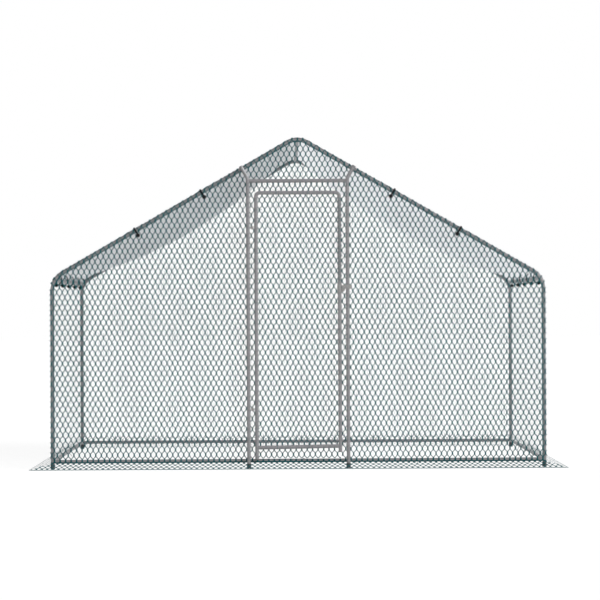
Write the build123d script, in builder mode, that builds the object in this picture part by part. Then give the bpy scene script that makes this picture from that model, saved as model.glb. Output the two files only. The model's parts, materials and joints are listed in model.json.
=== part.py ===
from build123d import *
import os
from math import cos, hypot, pi, radians, sin, sqrt, tan

os.makedirs("parts", exist_ok=True)

# A walk-in poultry run: a galvanised tube frame with a ridge roof, wire netting on every wall,
# a roof cover held by ball bungees, and a netted door with a fork latch.
# Millimetres, +X right, +Y to the back, +Z up, origin on the ground at the middle of the plan.

# Overall sizes
coop_width = 3000.0  # over the corner posts
coop_depth = 2000.0  # over the corner posts
eave_height = 1150.0  # where the axes of post and rafter meet
roof_pitch = 29.87  # degrees

# Frame tubes
frame_tube_d = 22.0
frame_wall = 1.0
eave_bend_r = 130.0
ridge_bend_r = 110.0
bend_leg = 45.0  # straight end of a bent tube
rail_height = 45.0

# Spigot joints and their screws
spigot_length = 60.0
spigot_root_length = 20.0
spigot_clearance = 0.2
spigot_wall = 1.2
weld_bite = 0.2
joint_gap = 0.5
screw_d = 4.8
screw_clearance = 0.15
screw_inset = 30.0
screw_head_d = 9.5
screw_head_height = 3.5
screw_tip_depth = 3.0

# Door posts, lintel and the bolts that hold them to the frame
door_tube_d = 22.0
door_wall = 1.0
door_post_x = 301.0
post_stand_off = 6.0  # from the frame's face to the back of a door post
post_bend_r = 40.0
post_lean = 34.0  # sideways reach of a post's bent top to the rafter
post_overrun = 18.0
lintel_drop = 267.2  # from the meeting of the rafter axes to the lintel's axis
post_bolt_d = 6.0
bolt_clearance = 0.2
bolt_head_across = 10.0
bolt_head_height = 4.0
bolt_overrun = 3.0
nut_height = 5.0
nut_clearance = 0.05
saddle_size = 16.0
saddle_corner_r = 2.0
saddle_wrap = 4.0
saddle_clearance = 0.05

# Foot caps
cap_floor = 3.0
cap_rail_gap = 4.0  # from the caps' rims to the bottom rails
cap_wall = 2.0
cap_clearance = 0.1

# Door leaf
stile_gap = 49.0  # between the axes of a door post and a stile
hoop_r = 24.0
lintel_gap = 72.0  # between the axes of the lintel and the door's top
door_rail_height = 129.0  # at the middle of the door
door_rail_skew = 8.0  # rise from the hinge stile to the latch stile
hinge_stile_overrun = 77.0  # below the axis of the door's rail
latch_stile_overrun = 32.0  # below the axis of the door's rail
plug_flange = 3.0
plug_depth = 18.0
plug_clearance = 0.1

# Hinges
lower_hinge_height = 350.0
upper_hinge_drop = 216.0  # below the axis of the door's top
lug_thickness = 5.0
lug_width = 16.0
hinge_pin_d = 8.0
hinge_clearance = 0.08
pin_head_d = 12.0
pin_head_height = 3.0
pin_overrun = 6.0
washer_d = 14.0
washer_thickness = 1.5
washer_clearance = 0.3

# Latch
latch_height = 1095.0
collar_top = 16.0  # above the pivot
collar_bottom = 35.0  # below the pivot
collar_wall = 3.0
collar_slit = 2.0
ear_thickness = 3.0
ear_r = 7.0
ear_stop_drop = 22.0  # below the pivot
stop_pin_d = 6.0
stop_pin_offset = 4.0  # past the pivot
stop_gap = 0.35
prong_thickness = 3.0
fork_eye_gap = 5.7  # from the collar to the eyes of the fork
prong_overrun = 25.0  # past the axis of the right door post
prong_tip_r = 5.0
prong_clearance = 1.0
spacer_d = 4.0  # round bar that joins the prongs
spacer_offset = 10.2  # from the pivot
spacer_gap = 0.8  # from the spacer to the door post
latch_bolt_d = 6.0
latch_clearance = 0.08
latch_nut_gap = 0.4

# Netting
net_thickness = 1.0
net_gap = 0.4
net_cell_width = 166.0
net_row_height = 154.0
net_twist_length = 75.0
net_bar = 5.0
net_border = 12.0
net_edge_inset = 2.0
net_below_rail = 9.0  # below the axis of the bottom rails
net_over_rafter = 8.0
net_past_post = 31.0  # past the axis of a door post, towards the door
net_seam = 2.0
gable_net_gap = 24.0  # above the axis of the door's top
door_net_overlap = 8.0
door_net_foot_gap = 4.0  # above the front bottom rail
latch_notch_clearance = 1.5
latch_nut_clearance = 6.0
saddle_hole_clearance = 4.5
cord_hole_clearance = 4.75
least_gap_area = 300.0

# Apron of netting round the foot
apron_width = 121.0
apron_drop = 6.0  # from the foot of the wall nets to the apron's upper edge
apron_stand_off = 4.0
apron_cell_width = 83.0
apron_row_height = 77.0
apron_twist_length = 37.0
apron_mitre_gap = 1.5
apron_post_clearance = 3.0

# Roof cover with its eyelets and ball bungees
cover_thickness = 2.0
cover_gap = 0.6  # from the rafters to the underside
cover_low_edge = -14.0  # along the slope, from the eave corner
cover_end_overhang = 11.0  # past the axis of the end rafters
eyelet_clearance = 3.75
eyelet_barrel_wall = 1.0
eyelet_flange_width = 3.0
eyelet_flange = 0.6
bungee_cord_d = 4.5
bungee_ball_d = 25.0
ball_clearance = 0.15
rafter_loop_slack = 24.0  # radius of a loop over that of the tube
rafter_loop_forward = 6.0  # from the rafter axis to the middle of a loop, outward
rafter_loop_hang = 8.0  # from the rafter axis to the middle of a loop, downward
rafter_loop_drops = (746.0, 284.0)  # down the slope from the heads of the door posts
rafter_ball_angle = 50.0  # below the outward direction
eave_loop_slack = 23.0
eave_loop_along = 6.0
eave_loop_above = -4.0
eave_loop_count = 5
eave_loop_end_gap = 189.0  # from the axis of an end rafter to the first loop

# Derived sizes
tube_r = frame_tube_d / 2
bore_d = frame_tube_d - 2 * frame_wall
door_tube_r = door_tube_d / 2
door_bore_d = door_tube_d - 2 * door_wall
half_width = coop_width / 2
half_depth = coop_depth / 2
half_span = half_width - tube_r
half_run = half_depth - tube_r
pitch = radians(roof_pitch)
apex_height = eave_height + half_span * tan(pitch)
slope_length = half_span / cos(pitch)
eave_turn = pi / 2 - pitch
eave_tangent = eave_bend_r * tan(eave_turn / 2)
ridge_tangent = ridge_bend_r * tan(pitch)
ridge_axis_height = apex_height - ridge_bend_r * (1 / cos(pitch) - 1)
post_top = eave_height - eave_tangent - bend_leg
rafter_foot = eave_tangent + bend_leg
rafter_head = slope_length - ridge_tangent - bend_leg
stub_reach = tube_r + joint_gap

# The eave tubes leave the eave bends at the middle of the bend
eave_setback = eave_bend_r * (1 / cos(eave_turn / 2) - 1)
bisector = hypot(cos(pitch), 1 - sin(pitch))
eave_axis_x = half_span - eave_setback * cos(pitch) / bisector
eave_axis_z = eave_height - eave_setback * (1 - sin(pitch)) / bisector

# The door and its posts stand in front of the frame
door_y = -(half_depth + post_stand_off + door_tube_r)
stile_x = door_post_x - stile_gap
hinge_x = -(door_post_x + stile_x) / 2
lintel_height = apex_height - lintel_drop
door_top = lintel_height - lintel_gap
hinge_heights = (lower_hinge_height, door_top - upper_hinge_drop)
post_head_x = door_post_x + post_lean
post_head_along = (half_span - post_head_x) / cos(pitch)
post_knee_height = apex_height - post_head_x * tan(pitch) - post_lean / tan(pitch)

# The feet of caps, netting and apron go by the bottom rails
cap_height = rail_height - tube_r - cap_rail_gap
net_foot = rail_height - net_below_rail
apron_top = net_foot - apron_drop

# The cover lies on the rafters
cover_rise = tube_r + cover_gap

SIDES = {-1: "left", 1: "right"}
ENDS = {-1: "front", 1: "back"}
UP = (0, 0, 1)
DOWN = (0, 0, -1)
FRONT = (0, -1, 0)
BACK = (0, 1, 0)


def moved(point, direction, distance):
    """The point that lies a distance away in a direction."""
    return tuple(p + d * distance for p, d in zip(point, direction))


def slope_point(side, y, along, above=0.0):
    """A point by its distance up the slope from the eave corner and its height above the rafter axis."""
    x = half_span - along * cos(pitch) + above * sin(pitch)
    z = eave_height + along * sin(pitch) + above * cos(pitch)
    return (side * x, y, z)


def slope_direction(side):
    return (-side * cos(pitch), 0, sin(pitch))


def slope_normal(side):
    return (side * sin(pitch), 0, cos(pitch))


def flipped(direction):
    return tuple(-d for d in direction)


def add_rod(start, direction, length, outer_d, inner_d=0.0, mode=Mode.ADD):
    """A straight round bar or tube in the part that is being built."""
    with BuildSketch(Plane(origin=start, z_dir=direction)) as section:
        Circle(outer_d / 2)
        if inner_d:
            Circle(inner_d / 2, mode=Mode.SUBTRACT)
    extrude(section.sketch, amount=length, mode=mode)


def add_bent_rod(points, bend_r, diameter, mode=Mode.ADD):
    """A round bar along straight runs joined by arcs, in the part that is being built."""
    with BuildLine() as route:
        FilletPolyline(*points, radius=bend_r)
    start = route.line @ 0
    with BuildSketch(Plane(origin=start, z_dir=route.line % 0)) as section:
        Circle(diameter / 2)
    sweep(section.sketch, path=route.line, mode=mode)


def finish(builder, name):
    """Names a finished piece and writes it."""
    builder.part.label = name
    export_step(builder.part, f"parts/{name}.step")


class Spigot:
    """A joint where one tube slips over a smaller end: the outer tube's end point on its axis,
    the direction into that tube, and the side from which the locking screw enters."""

    def __init__(self, end, into, screw_side, outer_d=frame_tube_d, wall=frame_wall):
        self.end = end
        self.into = into
        self.screw_side = screw_side
        self.outer_r = outer_d / 2
        self.tube_bore_d = outer_d - 2 * wall
        self.male_d = self.tube_bore_d - 2 * spigot_clearance
        self.male_bore_d = self.male_d - 2 * spigot_wall
        self.screw_point = moved(end, into, screw_inset)

    def add_stub(self, reach):
        """A welded stub: solid from the carrying tube's axis to the stub's end."""
        add_rod(moved(self.end, self.into, -reach), self.into, reach + spigot_length, self.male_d)

    def open_stub(self):
        """The bore of a welded stub, outside the tube that carries it."""
        start = moved(self.end, self.into, -joint_gap)
        add_rod(start, self.into, spigot_length + joint_gap, self.male_bore_d, mode=Mode.SUBTRACT)
        self.drill()

    def add_insert(self):
        """A reduced end, rooted in the bore of the tube that carries it."""
        root_start = moved(self.end, self.into, -joint_gap - spigot_root_length)
        root_d = self.tube_bore_d + 2 * weld_bite
        add_rod(root_start, self.into, spigot_root_length, root_d, self.male_bore_d)
        start = moved(self.end, self.into, -joint_gap)
        add_rod(start, self.into, joint_gap + spigot_length, self.male_d, self.male_bore_d)
        self.drill()

    def drill(self):
        """The hole for the locking screw, through one wall."""
        hole_d = screw_d + 2 * screw_clearance
        add_rod(self.screw_point, self.screw_side, self.outer_r + joint_gap, hole_d, mode=Mode.SUBTRACT)

    def add_screw(self):
        """The locking screw, with its head on the outer tube."""
        tip_r = self.male_bore_d / 2 - screw_tip_depth
        tip = moved(self.screw_point, self.screw_side, tip_r)
        add_rod(tip, self.screw_side, self.outer_r - tip_r, screw_d)
        seat = moved(self.screw_point, self.screw_side, self.outer_r)
        with BuildSketch(Plane(origin=seat, z_dir=self.screw_side)) as head:
            RegularPolygon(screw_head_d / 2, 6)
        extrude(head.sketch, amount=screw_head_height)


# Every spigot joint of the frame, by the piece and end where the outer tube begins
spigots = {}
for side in SIDES:
    inward = (-side, 0, 0)
    under = flipped(slope_normal(side))
    uphill = slope_direction(side)
    downhill = flipped(uphill)
    for end in ENDS:
        y = end * half_run
        lengthwise = (0, -end, 0)
        corner = (side * half_span, y, rail_height)
        spigots["post", side, end] = Spigot((side * half_span, y, post_top), DOWN, inward)
        foot = slope_point(side, y, rafter_foot + joint_gap)
        head = slope_point(side, y, rafter_head - joint_gap)
        spigots["rafter foot", side, end] = Spigot(foot, uphill, under)
        spigots["rafter head", side, end] = Spigot(head, downhill, under)
        spigots["cross rail", side, end] = Spigot(moved(corner, inward, stub_reach), inward, UP)
        spigots["side rail", side, end] = Spigot(moved(corner, lengthwise, stub_reach), lengthwise, UP)
        eave = (side * eave_axis_x, end * (half_run - stub_reach), eave_axis_z)
        spigots["eave", side, end] = Spigot(eave, lengthwise, DOWN)
    lintel_end = (side * (door_post_x - door_tube_r - joint_gap), door_y, lintel_height)
    spigots["lintel", side] = Spigot(lintel_end, inward, UP, door_tube_d, door_wall)
for end in ENDS:
    ridge = (0, end * (half_run - stub_reach), ridge_axis_height)
    spigots["ridge", end] = Spigot(ridge, (0, -end, 0), DOWN)
    middle = (joint_gap / 2, end * half_run, rail_height)
    spigots["rail middle", end] = Spigot(middle, (1, 0, 0), UP)

# The four bolts that hold the door posts, each by its point in the post's axis
rail_bolts = {side: (side * door_post_x, door_y, rail_height) for side in SIDES}
rafter_bolts = {side: slope_point(side, door_y, post_head_along) for side in SIDES}
bolt_hole_d = post_bolt_d + 2 * bolt_clearance
bolt_grip = door_tube_r + post_stand_off + frame_tube_d


def drill_post_bolt(point):
    """The hole for a door post bolt, through the post, the saddle and the frame tube."""
    start = moved(point, FRONT, door_tube_d)
    add_rod(start, BACK, door_tube_d + bolt_grip + tube_r, bolt_hole_d, mode=Mode.SUBTRACT)


# Corner posts with the welded stubs of the bottom rails
for side, side_name in SIDES.items():
    for end, end_name in ENDS.items():
        foot = (side * half_span, end * half_run, cap_floor)
        with BuildPart() as corner_post:
            add_rod(foot, UP, post_top - cap_floor, frame_tube_d)
            spigots["cross rail", side, end].add_stub(stub_reach)
            spigots["side rail", side, end].add_stub(stub_reach)
            add_rod(foot, UP, post_top - cap_floor, bore_d, mode=Mode.SUBTRACT)
            spigots["cross rail", side, end].open_stub()
            spigots["side rail", side, end].open_stub()
            spigots["post", side, end].drill()
        finish(corner_post, f"{end_name}_{side_name}_post")

# Eave bends: from post to rafter, with the welded stub of the eave tube
for side, side_name in SIDES.items():
    for end, end_name in ENDS.items():
        y = end * half_run
        eave_route = [
            (side * half_span, y, post_top + joint_gap),
            (side * half_span, y, eave_height),
            slope_point(side, y, rafter_foot),
        ]
        with BuildPart() as eave_bend:
            add_bent_rod(eave_route, eave_bend_r, frame_tube_d)
            spigots["eave", side, end].add_stub(stub_reach)
            add_bent_rod(eave_route, eave_bend_r, bore_d, mode=Mode.SUBTRACT)
            spigots["eave", side, end].open_stub()
            spigots["post", side, end].add_insert()
            spigots["rafter foot", side, end].add_insert()
        finish(eave_bend, f"{end_name}_{side_name}_eave_bend")

# Rafters: the front pair is drilled for the tops of the door posts
for side, side_name in SIDES.items():
    for end, end_name in ENDS.items():
        start = spigots["rafter foot", side, end].end
        length = rafter_head - rafter_foot - 2 * joint_gap
        with BuildPart() as rafter:
            add_rod(start, slope_direction(side), length, frame_tube_d, bore_d)
            spigots["rafter foot", side, end].drill()
            spigots["rafter head", side, end].drill()
            if end_name == "front":
                drill_post_bolt(rafter_bolts[side])
        finish(rafter, f"{end_name}_{side_name}_rafter")

# Ridge bends: from rafter to rafter, with the welded stub of the ridge tube
for end, end_name in ENDS.items():
    y = end * half_run
    ridge_route = [
        slope_point(-1, y, rafter_head),
        (0, y, apex_height),
        slope_point(1, y, rafter_head),
    ]
    with BuildPart() as ridge_bend:
        add_bent_rod(ridge_route, ridge_bend_r, frame_tube_d)
        spigots["ridge", end].add_stub(stub_reach)
        add_bent_rod(ridge_route, ridge_bend_r, bore_d, mode=Mode.SUBTRACT)
        spigots["ridge", end].open_stub()
        for side in SIDES:
            spigots["rafter head", side, end].add_insert()
    finish(ridge_bend, f"{end_name}_ridge_bend")

# Lengthwise tubes: the ridge, two eaves and two side rails
lengthwise_tubes = {"ridge_tube": ("ridge",)}
for side, side_name in SIDES.items():
    lengthwise_tubes[f"{side_name}_eave_tube"] = ("eave", side)
    lengthwise_tubes[f"{side_name}_rail"] = ("side rail", side)
for tube_name, joint in lengthwise_tubes.items():
    front_spigot = spigots[joint + (-1,)]
    back_spigot = spigots[joint + (1,)]
    with BuildPart() as lengthwise_tube:
        add_rod(front_spigot.end, BACK, 2 * (half_run - stub_reach), frame_tube_d, bore_d)
        front_spigot.drill()
        back_spigot.drill()
    finish(lengthwise_tube, tube_name)

# Front and back bottom rails: the left half has the reduced end that enters the right half
for end, end_name in ENDS.items():
    middle = spigots["rail middle", end]
    half_rail_length = half_span - stub_reach - joint_gap / 2
    for side, side_name in SIDES.items():
        with BuildPart() as half_rail:
            outer = spigots["cross rail", side, end]
            add_rod(outer.end, (-side, 0, 0), half_rail_length, frame_tube_d, bore_d)
            outer.drill()
            if side_name == "left":
                middle.add_insert()
            else:
                middle.drill()
            if end_name == "front":
                drill_post_bolt(rail_bolts[side])
        finish(half_rail, f"{end_name}_{side_name}_rail")

# Door posts, bent at the top to meet the rafter squarely
for side, side_name in SIDES.items():
    foot = (side * door_post_x, door_y, cap_floor)
    knee = (side * door_post_x, door_y, post_knee_height)
    post_route = [foot, knee, slope_point(side, door_y, post_head_along, post_overrun)]
    with BuildPart() as door_post:
        add_bent_rod(post_route, post_bend_r, door_tube_d)
        spigots["lintel", side].add_stub(door_tube_r + joint_gap)
        add_bent_rod(post_route, post_bend_r, door_bore_d, mode=Mode.SUBTRACT)
        spigots["lintel", side].open_stub()
        drill_post_bolt(rail_bolts[side])
        drill_post_bolt(rafter_bolts[side])
    finish(door_post, f"{side_name}_door_post")

# Lintel between the door posts
with BuildPart() as lintel:
    left_end = spigots["lintel", -1].end
    add_rod(left_end, (1, 0, 0), -2 * left_end[0], door_tube_d, door_bore_d)
    for side in SIDES:
        spigots["lintel", side].drill()
finish(lintel, "lintel")

# Foot caps of the corner posts and the door posts
cap_feet = [(side * half_span, end * half_run, frame_tube_d) for side in SIDES for end in ENDS]
cap_feet += [(side * door_post_x, door_y, door_tube_d) for side in SIDES]
with BuildPart() as foot_caps:
    for x, y, tube_d in cap_feet:
        cup_d = tube_d + 2 * cap_clearance
        add_rod((x, y, 0), UP, cap_height, cup_d + 2 * cap_wall)
        add_rod((x, y, cap_floor), UP, cap_height, cup_d, mode=Mode.SUBTRACT)
finish(foot_caps, "foot_caps")

# Saddles between the door posts and the frame tubes behind them
saddle_fits = {}
for side in SIDES:
    saddle_fits["rail", side] = (rail_bolts[side], UP, (1, 0, 0))
    saddle_fits["rafter", side] = (rafter_bolts[side], slope_normal(side), slope_direction(side))
saddle_depth = post_stand_off + 2 * saddle_wrap
with BuildPart() as post_saddles:
    for point, post_direction, tube_direction in saddle_fits.values():
        front_face = moved(point, BACK, door_tube_r - saddle_wrap)
        with BuildSketch(Plane(origin=front_face, x_dir=tube_direction, z_dir=BACK)) as block:
            RectangleRounded(saddle_size, saddle_size, saddle_corner_r)
        extrude(block.sketch, amount=saddle_depth)
    for point, post_direction, tube_direction in saddle_fits.values():
        post_cut_d = door_tube_d + 2 * saddle_clearance
        tube_cut_d = frame_tube_d + 2 * saddle_clearance
        tube_axis = moved(point, BACK, door_tube_r + post_stand_off + tube_r)
        post_start = moved(point, post_direction, -saddle_size)
        tube_start = moved(tube_axis, tube_direction, -saddle_size)
        add_rod(post_start, post_direction, 2 * saddle_size, post_cut_d, mode=Mode.SUBTRACT)
        add_rod(tube_start, tube_direction, 2 * saddle_size, tube_cut_d, mode=Mode.SUBTRACT)
        drill_post_bolt(point)
finish(post_saddles, "post_saddles")

# Bolts and nuts of the door posts
post_bolt_points = [*rail_bolts.values(), *rafter_bolts.values()]
bolt_length = door_tube_r + bolt_grip + nut_height + bolt_overrun
with BuildPart() as post_bolts:
    for point in post_bolt_points:
        under_head = moved(point, FRONT, door_tube_r)
        add_rod(under_head, BACK, bolt_length, post_bolt_d)
        with BuildSketch(Plane(origin=under_head, z_dir=FRONT)) as head:
            RegularPolygon(bolt_head_across / 2, 6, major_radius=False)
        extrude(head.sketch, amount=bolt_head_height)
finish(post_bolts, "post_bolts")

with BuildPart() as post_nuts:
    for point in post_bolt_points:
        with BuildSketch(Plane(origin=moved(point, BACK, bolt_grip), z_dir=BACK)) as nut:
            RegularPolygon(bolt_head_across / 2, 6, major_radius=False)
            Circle(post_bolt_d / 2 + nut_clearance, mode=Mode.SUBTRACT)
        extrude(nut.sketch, amount=nut_height)
finish(post_nuts, "post_nuts")

# Screws that lock the spigot joints
with BuildPart() as frame_screws:
    for spigot in spigots.values():
        spigot.add_screw()
finish(frame_screws, "frame_screws")

# Door leaf: a hoop of tube, its bottom rail and the plugs in its open ends
stile_feet = {
    -1: door_rail_height - hinge_stile_overrun + plug_flange,
    1: door_rail_height - latch_stile_overrun + plug_flange,
}
hoop_route = [
    (-stile_x, door_y, stile_feet[-1]),
    (-stile_x, door_y, door_top),
    (stile_x, door_y, door_top),
    (stile_x, door_y, stile_feet[1]),
]
with BuildPart() as door_hoop:
    add_bent_rod(hoop_route, hoop_r, door_tube_d)
    add_bent_rod(hoop_route, hoop_r, door_bore_d, mode=Mode.SUBTRACT)
finish(door_hoop, "door_hoop")

with BuildPart() as door_rail:
    rail_start = (-stile_x, door_y, door_rail_height - door_rail_skew / 2)
    rail_length = hypot(2 * stile_x, door_rail_skew)
    add_rod(rail_start, (2 * stile_x, 0, door_rail_skew), rail_length, door_tube_d, door_bore_d)
    for side in SIDES:
        cope_start = (side * stile_x, door_y, door_rail_height - door_tube_d)
        add_rod(cope_start, UP, 2 * door_tube_d, door_tube_d, mode=Mode.SUBTRACT)
finish(door_rail, "door_rail")

with BuildPart() as stile_plugs:
    for side, tube_foot in stile_feet.items():
        add_rod((side * stile_x, door_y, tube_foot - plug_flange), UP, plug_flange, door_tube_d)
        plug_d = door_bore_d - 2 * plug_clearance
        add_rod((side * stile_x, door_y, tube_foot - plug_flange), UP, plug_flange + plug_depth, plug_d)
finish(stile_plugs, "stile_plugs")

# Hinges: a lug on the post, a lug with a pin on the stile, and a washer between them
hinge_bore_d = hinge_pin_d + 2 * hinge_clearance
stile_lug_rise = lug_thickness + washer_thickness + washer_clearance


def add_hinge_lug(carrier_x, z, bore_diameter):
    """A flat lug from a door tube to the hinge axis, coped to the tube."""
    reach = hinge_x - carrier_x
    with BuildSketch(Plane.XY.offset(z)) as lug:
        with Locations((carrier_x + reach / 2, door_y)):
            Rectangle(abs(reach), lug_width)
        with Locations((hinge_x, door_y)):
            Circle(lug_width / 2)
            Circle(bore_diameter / 2, mode=Mode.SUBTRACT)
        with Locations((carrier_x, door_y)):
            Circle(door_tube_r, mode=Mode.SUBTRACT)
    extrude(lug.sketch, amount=lug_thickness)


with BuildPart() as post_hinge_lugs:
    for z in hinge_heights:
        add_hinge_lug(-door_post_x, z, hinge_bore_d)
finish(post_hinge_lugs, "post_hinge_lugs")

with BuildPart() as stile_hinge_lugs:
    for z in hinge_heights:
        add_hinge_lug(-stile_x, z + stile_lug_rise, hinge_pin_d)
finish(stile_hinge_lugs, "stile_hinge_lugs")

with BuildPart() as hinge_washers:
    for z in hinge_heights:
        add_rod((hinge_x, door_y, z + lug_thickness), UP, washer_thickness, washer_d, hinge_bore_d)
finish(hinge_washers, "hinge_washers")

with BuildPart() as hinge_pins:
    for z in hinge_heights:
        pin_top = z + stile_lug_rise + lug_thickness
        pin_length = pin_top - z + pin_overrun
        add_rod((hinge_x, door_y, pin_top), DOWN, pin_length, hinge_pin_d)
        add_rod((hinge_x, door_y, pin_top), UP, pin_head_height, pin_head_d)
finish(hinge_pins, "hinge_pins")

# Latch: a split collar on the stile with a stop pin, and a fork that drops over the right door post
latch_bore_d = latch_bolt_d + 2 * latch_clearance
prong_inner = door_tube_r + prong_clearance
prong_outer = prong_inner + prong_thickness
collar_foot = latch_height - collar_bottom
collar_height = collar_top + collar_bottom
spacer_x = door_post_x - door_tube_r - spacer_gap - spacer_d / 2
latch_pivot_x = spacer_x - spacer_offset
prong_length = door_post_x + prong_overrun - latch_pivot_x
collar_reach = sqrt((door_tube_r + collar_wall) ** 2 - prong_inner**2)
prong_height = 2 * (latch_pivot_x - stile_x - collar_reach - fork_eye_gap)


def latch_plane(y):
    """An upright plane across the door, facing the front, at a distance behind the door's middle."""
    return Plane.XZ.offset(-(door_y + y))


with BuildPart() as latch_collar:
    add_rod((stile_x, door_y, collar_foot), UP, collar_height, door_tube_d + 2 * collar_wall)
    for ear_back in (-collar_slit / 2, collar_slit / 2 + ear_thickness):
        with BuildSketch(latch_plane(ear_back)) as ear:
            with BuildLine():
                Polyline(
                    (stile_x, latch_height + ear_r),
                    (latch_pivot_x, latch_height + ear_r),
                    (latch_pivot_x + ear_r, latch_height),
                    (latch_pivot_x + ear_r, latch_height - ear_stop_drop),
                    (stile_x + door_tube_r + collar_wall, collar_foot),
                    (stile_x, collar_foot),
                    close=True,
                )
            make_face()
            with Locations((latch_pivot_x, latch_height)):
                Circle(latch_bolt_d / 2, mode=Mode.SUBTRACT)
        extrude(ear.sketch, amount=ear_thickness)
    add_rod((stile_x, door_y, collar_foot), UP, collar_height, door_tube_d, mode=Mode.SUBTRACT)
    slit_x = (stile_x + latch_pivot_x) / 2
    with BuildSketch(Plane.XY.offset(collar_foot)) as slit:
        with Locations((slit_x, door_y)):
            Rectangle(latch_pivot_x - stile_x, collar_slit)
    extrude(slit.sketch, amount=collar_height, mode=Mode.SUBTRACT)
    stop_pin_z = latch_height - prong_height / 2 - stop_gap - stop_pin_d / 2
    stop_pin_start = (latch_pivot_x + stop_pin_offset, door_y - prong_outer, stop_pin_z)
    add_rod(stop_pin_start, BACK, 2 * prong_outer, stop_pin_d)
finish(latch_collar, "latch_collar")

with BuildPart() as latch_fork:
    for prong_back in (-prong_inner, prong_outer):
        with BuildSketch(latch_plane(prong_back)) as prong:
            with Locations((latch_pivot_x + prong_length / 2, latch_height)):
                Rectangle(prong_length, prong_height)
            tip_corners = prong.vertices().group_by(Axis.X)[-1]
            fillet(tip_corners, prong_tip_r)
            with Locations((latch_pivot_x, latch_height)):
                Circle(prong_height / 2)
                Circle(latch_bore_d / 2, mode=Mode.SUBTRACT)
        extrude(prong.sketch, amount=prong_thickness)
    add_rod((spacer_x, door_y - prong_outer, latch_height), BACK, 2 * prong_outer, spacer_d)
finish(latch_fork, "latch_fork")

latch_head_seat = (latch_pivot_x, door_y - prong_outer - latch_nut_gap, latch_height)
latch_nut_seat = (latch_pivot_x, door_y + prong_outer + latch_nut_gap, latch_height)
with BuildPart() as latch_bolt:
    shank_length = 2 * (prong_outer + latch_nut_gap) + nut_height
    add_rod(latch_head_seat, BACK, shank_length, latch_bolt_d)
    with BuildSketch(Plane(origin=latch_head_seat, z_dir=FRONT)) as latch_head:
        RegularPolygon(bolt_head_across / 2, 6, major_radius=False)
    extrude(latch_head.sketch, amount=bolt_head_height)
finish(latch_bolt, "latch_bolt")

with BuildPart() as latch_nut:
    with BuildSketch(Plane(origin=latch_nut_seat, z_dir=BACK)) as latch_nut_section:
        RegularPolygon(bolt_head_across / 2, 6, major_radius=False)
        Circle(latch_bolt_d / 2 + nut_clearance, mode=Mode.SUBTRACT)
    extrude(latch_nut_section.sketch, amount=nut_height)
finish(latch_nut, "latch_nut")


# Netting: flat panels, each one face with hexagonal gaps
def edge_lines(outline):
    """The edges of a convex outline, listed anticlockwise, as (point, inward direction)."""
    lines = []
    for (x0, y0), (x1, y1) in zip(outline, outline[1:] + outline[:1]):
        length = hypot(x1 - x0, y1 - y0)
        lines.append(((x0, y0), (-(y1 - y0) / length, (x1 - x0) / length)))
    return lines


def clipped(polygon, lines, inset):
    """The part of a convex polygon that lies inside all edge lines by the inset."""
    for (x0, y0), (nx, ny) in lines:
        kept = []
        depths = [(x - x0) * nx + (y - y0) * ny - inset for x, y in polygon]
        for i, (p, depth) in enumerate(zip(polygon, depths)):
            before, before_depth = polygon[i - 1], depths[i - 1]
            if depth * before_depth < 0:
                share = before_depth / (before_depth - depth)
                kept.append(tuple(b + (c - b) * share for b, c in zip(before, p)))
            if depth >= 0:
                kept.append(p)
        polygon = kept
    return polygon


def area(polygon):
    pairs = zip(polygon, polygon[1:] + polygon[:1])
    return sum(x0 * y1 - x1 * y0 for (x0, y0), (x1, y1) in pairs) / 2


def hexagon_gaps(outline, cell_width, row_height, twist):
    """The hexagonal gaps of a net inside an outline, with part cells along its edges."""
    lines = edge_lines(outline)
    shrink = 1 - net_bar / cell_width
    side_x = cell_width / 2 * shrink
    side_y = twist / 2 * shrink
    tip_y = (row_height - twist / 2) * shrink
    right_half = [(0, -tip_y), (side_x, -side_y), (side_x, side_y)]
    cell = right_half + [(-x, -y) for x, y in right_half]
    reach_x = max(abs(x) for x, y in outline)
    reach_y = max(abs(y) for x, y in outline)
    columns = int(reach_x / cell_width) + 2
    rows = int(reach_y / row_height) + 2
    gaps = []
    for row in range(-rows, rows + 1):
        for column in range(-columns, columns + 1):
            x = (column + row % 2 / 2) * cell_width
            y = row * row_height
            gap = clipped([(x + dx, y + dy) for dx, dy in cell], lines, net_border)
            if len(gap) > 2 and area(gap) > least_gap_area:
                gaps.append(gap)
    return gaps


def net_face(plane, outline, cell=(net_cell_width, net_row_height, net_twist_length)):
    """One holed face in a plane."""
    rim = Wire.make_polygon([(x, y, 0) for x, y in outline])
    gaps = [Wire.make_polygon([(x, y, 0) for x, y in gap]) for gap in hexagon_gaps(outline, *cell)]
    return plane * Face(rim, gaps)


def front_rafter_z(x):
    """Height of the net's upper edge along the rafters."""
    return apex_height + net_over_rafter / cos(pitch) - abs(x) * tan(pitch)


def slope_edge(side, along):
    """A point of the net's upper edge, in the plane of the end walls."""
    x, _, z = slope_point(side, 0, along, net_over_rafter)
    return (x, z)


def mirrored(outline):
    """An outline turned left for right, still anticlockwise."""
    return [(-x, y) for x, y in reversed(outline)]


# Where the bungee loops cross the netting and the cover
rafter_loop_r = tube_r + rafter_loop_slack
rafter_loops_along = [post_head_along - drop for drop in rafter_loop_drops]
cord_hole_d = bungee_cord_d + 2 * cord_hole_clearance
cover_middle = cover_rise + cover_thickness / 2
wall_net_middle = tube_r + net_gap + net_thickness / 2
loop_inside_rafter = sqrt(rafter_loop_r**2 - (cover_middle + rafter_loop_hang) ** 2) - rafter_loop_forward
loop_below_rafter = sqrt(rafter_loop_r**2 - (wall_net_middle - rafter_loop_forward) ** 2) + rafter_loop_hang


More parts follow.
